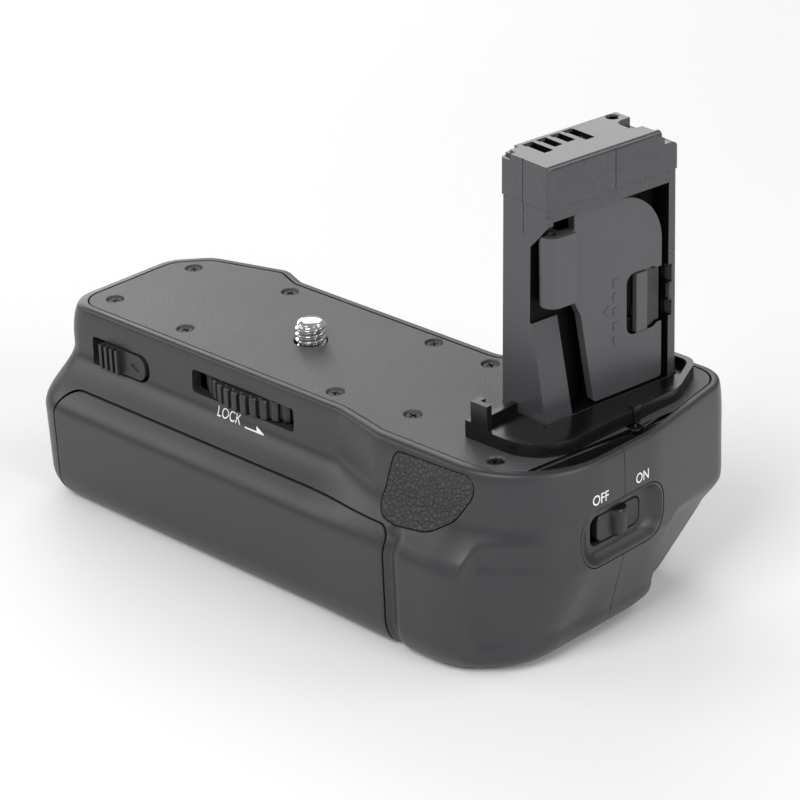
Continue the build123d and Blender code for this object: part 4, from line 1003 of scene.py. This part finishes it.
# Top plate: a grained slab inside the groove, with a sink for each screw
plate = {"edges": ((-2.2, 1.62), (-0.22, 1.62), (-0.10, 1.66), (-0.03, 1.74), (0.0, 1.86)),
         "sink": [(1.85, -1.15), (1.85, -0.22), (1.92, -0.08), (2.08, 0.0), (2.08, 3.0)],
         "screwHole": [(3.45, -5.0), (3.45, -0.3), (3.75, 0.0), (3.75, 3.0)], "gutterFrom": 10.5, "gutterDeep": 1.2,
         "screws": [(-46.6, -12.3), (-46.1, 9.8), (-23.9, -12.9), (-20.9, 14.3), (21.3, -14.1), (20.2, 15.2),
                    (35.8, 15.1), (39.9, -11.5), (65.4, -15.7), (75.4, 12.6)]}
plateLoops = [planeXY(outline(levelAt(0.0), inset), z) for z, inset in plate["edges"]]
plateForm = loopSolid("topPlate", plateLoops, "plate", 40)


def latheAt(x, y, profile, seg=32):
    tool = lathe("tool", profile, "plate", seg)
    tool.data.transform(Matrix.Translation(Vector((x, y, 0)) * mm))
    return tool


tools = [latheAt(x, y, plate["sink"]) for x, y in plate["screws"]]
tools += [rod(x, y, -5, 0, 1.0, 24) for x, y in plate["screws"]]
tools += [latheAt(0, 0, plate["screwHole"], 64)]
tools += [stalkBox(plate["gutterFrom"], farOut, -farOut, farOut, -plate["gutterDeep"], farOut)]
tools += [stalkBox(-11.4, -5.7, 3.6, 30.6, -5, 5)]  # under the stalk
boolean(plateForm, tools)
# partly painted shade: the sunk gutter's faces take the near-black glossy gutter look, darker than the plate, as shade
# beside the stalk
paint(plateForm, "gutter", lambda u, v, z: u > plate["gutterFrom"] - 0.1 and z < -0.1)
soften(plateForm, 0)
place(plateForm, "housing", "top_plate", "plate")

# Cross-head screws: a turned head with two crossed, tapering bars cut out
head = {"profile": [(0.72, -7.15), (0.86, -6.8), (0.86, -1.16), (1.55, -1.15), (1.6, -1.05), (1.6, -0.55),
                    (1.5, -0.40), (1.3, -0.35)],
        "low": (0.35, 0.14, -0.95), "high": (1.0, 0.24, -0.3)}  # half length, half width, height


def crossHead(x, y, top, turn, flip=1):
    obj = lathe("head", head["profile"], "darkSteel", 28)
    cross = []
    for angle in (0, 90):
        bar = cutter([planeXY(rect(-a, -b, a, b), z) for a, b, z in (head["low"], head["high"])])
        bar.data.transform(Matrix.Rotation(math.radians(angle), 4, "Z"))
        cross.append(bar)
    boolean(obj, cross)
    upright = Matrix.Diagonal((1, flip, flip, 1)) @ Matrix.Rotation(turn, 4, "Z")
    obj.data.transform(Matrix.Translation(Vector((x, y, top)) * mm) @ upright)
    return obj


heads = [crossHead(x, y, 0.0, 0.7 + 1.9 * k) for k, (x, y) in enumerate(plate["screws"])]
place(join("topScrews", heads), "housing", "top_screws", "dark_steel")
heads = [crossHead(baseScrew["x"], y, -42.0, 0.4 + y, -1) for y in (baseScrew["rear"], baseScrew["front"])]
place(join("baseScrews", heads), "housing", "base_screws", "dark_steel")
print("stage: plate, wheel and screws")

# Switch bezel, whose rim follows the curved end of the housing
bezel = {"floor": 78.3, "back": 76.9, "wide": 11.45, "high": 5.65, "round": 4.8, "byWide": 3.75, "byHigh": 2.0,
         "byRound": 2.5, "curve": 0.9}
rims = ((12.0, 6.2, 5.3, 2.6), (12.0, 6.2, 5.3, 0.12), (11.9, 6.1, 5.2, 0.03), (11.55, 5.75, 4.9, 0.0))


def bezelLoop(halfW, halfH, r):
    return rect(seat["y"] - halfW, seat["z"] - halfH, seat["y"] + halfW, seat["z"] + halfH, r, 10)


# Puts an outline on the end skin, sunk by an amount
def onEnd(pts, sink):
    return np.array([(endX(y, z) - sink, y, z) for y, z in pts])


cove = [onEnd(bezelLoop(w, h, r), sink) for w, h, r, sink in rims]
for t in np.linspace(0.06, 1, 11):  # from the skin to the floor by a power of a sine
    pts = bezelLoop(bezel["wide"] - bezel["byWide"] * t, bezel["high"] - bezel["byHigh"] * t,
                    bezel["round"] - bezel["byRound"] * t)
    outer = np.array([endX(y, z) for y, z in pts])
    deep = math.sin(t * math.pi / 2) ** bezel["curve"]
    cove.append(np.column_stack([outer + (bezel["floor"] - outer) * deep, pts]))
cove += [planeYZ(bezelLoop(w, h, r), x) for w, h, r, x in (
    (7.3, 3.2, 1.9, bezel["floor"]), (7.2, 3.1, 1.8, bezel["floor"] - 0.12), (7.2, 3.1, 1.8, bezel["back"]),
    (11.0, 5.4, 4.6, bezel["back"]))]
place(loopSolid("switchBezel", cove, "housing", 42, True), "housing", "switch_bezel", "housing")

# Switch knob: a plate that fills its slot and a saddle-shaped ridge
knob = {"y": 4.3, "halfW": 6.1, "halfH": 2.85, "foot": 78.2, "tall": 1.85, "ridgeW": 1.95, "power": 3.2,
        "thin": (0.35, 0.1, 0, 0, 0, 0, 0, 0.1, 0.35)}
knobLoops = []
for x, less, r in ((76.9, 0.0, 1.5), (78.1, 0.0, 1.5), (78.3, 0.2, 1.35)):
    w, h = knob["halfW"] - less, knob["halfH"] - less
    knobLoops.append(planeYZ(rect(knob["y"] - w, seat["z"] - h, knob["y"] + w, seat["z"] + h, r, 8), x))
knobSolid = loopSolid("switchKnob", knobLoops, "trim", 40)
saddle = []
for z, thin in zip(np.linspace(-18.9, -13.3, 9), knob["thin"]):  # height falls off by a power of the distance
    t = np.linspace(-1, 1, 13)
    edge = knob["foot"] + (knob["tall"] - thin) * (1 - np.abs(t) ** knob["power"])
    saddle.append(np.column_stack([np.concatenate([[77.6], edge, [77.6]]),
                                   knob["y"] + knob["ridgeW"] * np.concatenate([[-1], t, [1]]), np.full(15, z)]))
boolean(knobSolid, [cutter(saddle)], "UNION")
boolean(knobSolid, [box(71.9, 77.2, knob["y"] - 1.0, knob["y"] + 1.0, -17.1, -15.1)], "UNION")
soften(knobSolid, 0.10)
place(knobSolid, "switch_knob", "switch_slider", "trim")

# Tray latch: its CAD form with a small sunk arrow
latch = {"arrow": [(-33.2, -8.3), (-30.5, -6.9), (-30.5, -9.7)], "sunk": 0.22, "edge": 0.22}
latchForm = fromNode("tray_latch", "knob")
latchFace = rearY(-32.0, 8.4) - 0.3
boolean(latchForm, [prismXZ(roundPoly(latch["arrow"], 0.12, 3), latchFace - 2.0, latchFace + latch["sunk"])])
soften(latchForm, latch["edge"])
place(latchForm, "latch", "tray_latch", "knob")
print("stage: switch and latch")

# Printed marks that say what each control does: text, size, middle, width and boldness
marks = {
    "lockMark": ("LOCK", 3.0, (-3.35, -10.7), 0.88, 0.0),
    "offMark": ("OFF", 2.95, (-3.55, -7.8), 0.84, 0.03),
    "onMark": ("ON", 2.95, (8.5, -7.75), 0.84, 0.03),
}
arrow = {"from": 1.5, "long": 5.5, "low": -11.75, "high": -11.5, "barb": [(4.9, -11.52), (6.95, -11.52), (4.5, -10.6)]}
inkHigh = 0.035


# A place on the rear skin and one on the end skin, just proud of it
def onRear(x, z):
    return (x, rearY(x, -z) - inkHigh, z)


def onEndFace(y, z):
    return (endX(y, z) + inkHigh, y, z)


# Flat letters cut into small faces, each point carried onto the skin by project
def printed(name, project):
    text, size, centre, across, bold = marks[name]
    curve = bpy.data.curves.new(name, "FONT")
    curve.body = text
    curve.size = size
    curve.offset = bold
    curve.align_x = "CENTER"
    curve.align_y = "CENTER"
    holder = bpy.data.objects.new(name, curve)
    scene.collection.objects.link(holder)
    mesh = bpy.data.meshes.new_from_object(holder.evaluated_get(bpy.context.evaluated_depsgraph_get()))
    bpy.data.objects.remove(holder)
    bm = bmesh.new()
    bm.from_mesh(mesh)
    bmesh.ops.remove_doubles(bm, verts=bm.verts, dist=1e-4)
    bmesh.ops.triangulate(bm, faces=bm.faces)
    bmesh.ops.subdivide_edges(bm, edges=bm.edges, cuts=2, use_grid_fill=True)
    for vert in bm.verts:
        vert.co = Vector(project(centre[0] + vert.co[0] * across, centre[1] + vert.co[1])) * mm
    bm.to_mesh(mesh)
    bm.free()
    mesh.name = name
    obj = bpy.data.objects.new(name, mesh)
    scene.collection.objects.link(obj)
    mesh.materials.append(looks["ink"])
    return obj


place(printed("lockMark", onRear), "housing")
place(printed("offMark", onEndFace), "housing")
place(printed("onMark", onEndFace), "housing")
along = np.linspace(0, 1, 8)
shaft = [(arrow["from"] + arrow["long"] * t, arrow["low"]) for t in along]
shaft += [(arrow["from"] + arrow["long"] - arrow["long"] * t, arrow["high"]) for t in along]
shapes = [meshObject(name, [onRear(x, z) for x, z in pts], [list(range(len(pts)))], "ink")
          for name, pts in (("arrowShaft", shaft), ("arrowPoint", arrow["barb"]))]
place(join("lockArrow", shapes), "housing")
print("stage: marks")

# CAD nodes shown as they are: look and edge radius
cadLooks = {
    "deck": ("inner", 0.2), "tray_cage": ("inner", 0.2), "cage_contacts": ("contact", 0.0),
    "wheel_bush": ("brass", 0.15), "wheel_clip": ("steel", 0.1), "battery_tray": ("inner", 0.25),
    "tray_contacts": ("contact", 0.0), "tripod_bush": ("brass", 0.15), "tray_latch_spring": ("steel", 0.0),
    "switch_body": ("steel", 0.1), "circuit_board": ("board", 0.0), "button_collar": ("housing", 0.15),
    "shutter_button": ("trim", 0.3), "button_cup": ("inner", 0.1), "push_switch": ("trim", 0.1),
    # stalk_base takes the near-black curb look, partly painted shade on the stalk's floor
    "button_spring": ("steel", 0.0), "stalk_base": ("curb", 0.10), "stalk_contacts": ("contact", 0.0),
    "door_latch_spring": ("steel", 0.0),
}
for name, (look, soft) in cadLooks.items():
    obj = frame["nodes"][name]
    obj.data.materials.clear()
    obj.data.materials.append(looks[look])
    weld = obj.modifiers.new("weld", "WELD")
    weld.merge_threshold = 0.00001
    flat = obj.modifiers.new("flat", "DECIMATE")
    flat.decimate_type = "DISSOLVE"
    flat.angle_limit = math.radians(1.5)
    soften(obj, soft)
print("stage: cad looks")

# Camera, in metres
view = {"lens": 135, "sensor": 36, "near": 0.01, "spot": (0.4060, -0.3826, 0.2532),
        "right": (0.718583, 0.694761, -0.030741), "up": (-0.280941, 0.330442, 0.901044),
        "ahead": (-0.636169, 0.638839, -0.432637)}
camData = bpy.data.cameras.new("camera")
camData.lens = view["lens"]
camData.sensor_width = view["sensor"]
camData.clip_start = view["near"]
camera = bpy.data.objects.new("camera", camData)
turn = Matrix((Vector(view["right"]), Vector(view["up"]), -Vector(view["ahead"]))).transposed().to_4x4()
camera.matrix_world = Matrix.Translation(Vector(view["spot"])) @ turn
scene.collection.objects.link(camera)
scene.camera = camera

# Floor
floorShader = Shader("floorPaper")
floorShader.feed("Base Color", (0.93, 0.93, 0.93))
floorShader.feed("Roughness", 0.7)
looks["floor"] = floorShader.material
floorHalf, floorZ = 1500, -42.05
floorPts = [(-floorHalf, -floorHalf, floorZ), (floorHalf, -floorHalf, floorZ), (floorHalf, floorHalf, floorZ),
            (-floorHalf, floorHalf, floorZ)]
floor = meshObject("floor", floorPts, [(0, 1, 2, 3)], "floor")
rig.stage(floor)

# Lamps: size, power and place, in metres and watts
lamps = {
    "key": ((0.5, 0.5), 4.7, (0.13, -0.66, 0.66)),
    "back": ((0.6, 0.35), 2.1, (-0.85, 0.30, 0.26)),
    "rim": ((0.5, 0.5), 1.7, (-0.52, 0.60, 0.49)),
    "left": ((0.5, 0.4), 1.7, (-0.70, -0.50, 0.40)),
    "right": ((0.5, 0.5), 3.3, (0.86, -0.02, 0.34)),
    "edge": ((0.35, 0.35), 1.1, (0.46, 0.49, 0.68)),
}
lampAim = Vector((0.01, 0, -0.01))
worldStrength = 0.30
for name, (size, power, spot) in lamps.items():
    data = bpy.data.lights.new(name, "AREA")
    data.shape = "RECTANGLE"
    data.size, data.size_y = size
    data.energy = power
    obj = bpy.data.objects.new(name, data)
    obj.location = spot
    obj.rotation_euler = (lampAim - Vector(spot)).to_track_quat("-Z", "Y").to_euler()
    scene.collection.objects.link(obj)
    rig.stage(obj)
world = bpy.data.worlds.new("studio")
world.use_nodes = True
world.node_tree.nodes["Background"].inputs[0].default_value = (1, 1, 1, 1)
world.node_tree.nodes["Background"].inputs[1].default_value = worldStrength
scene.world = world
scene.view_settings.view_transform = "Standard"
noteBounds("finish")
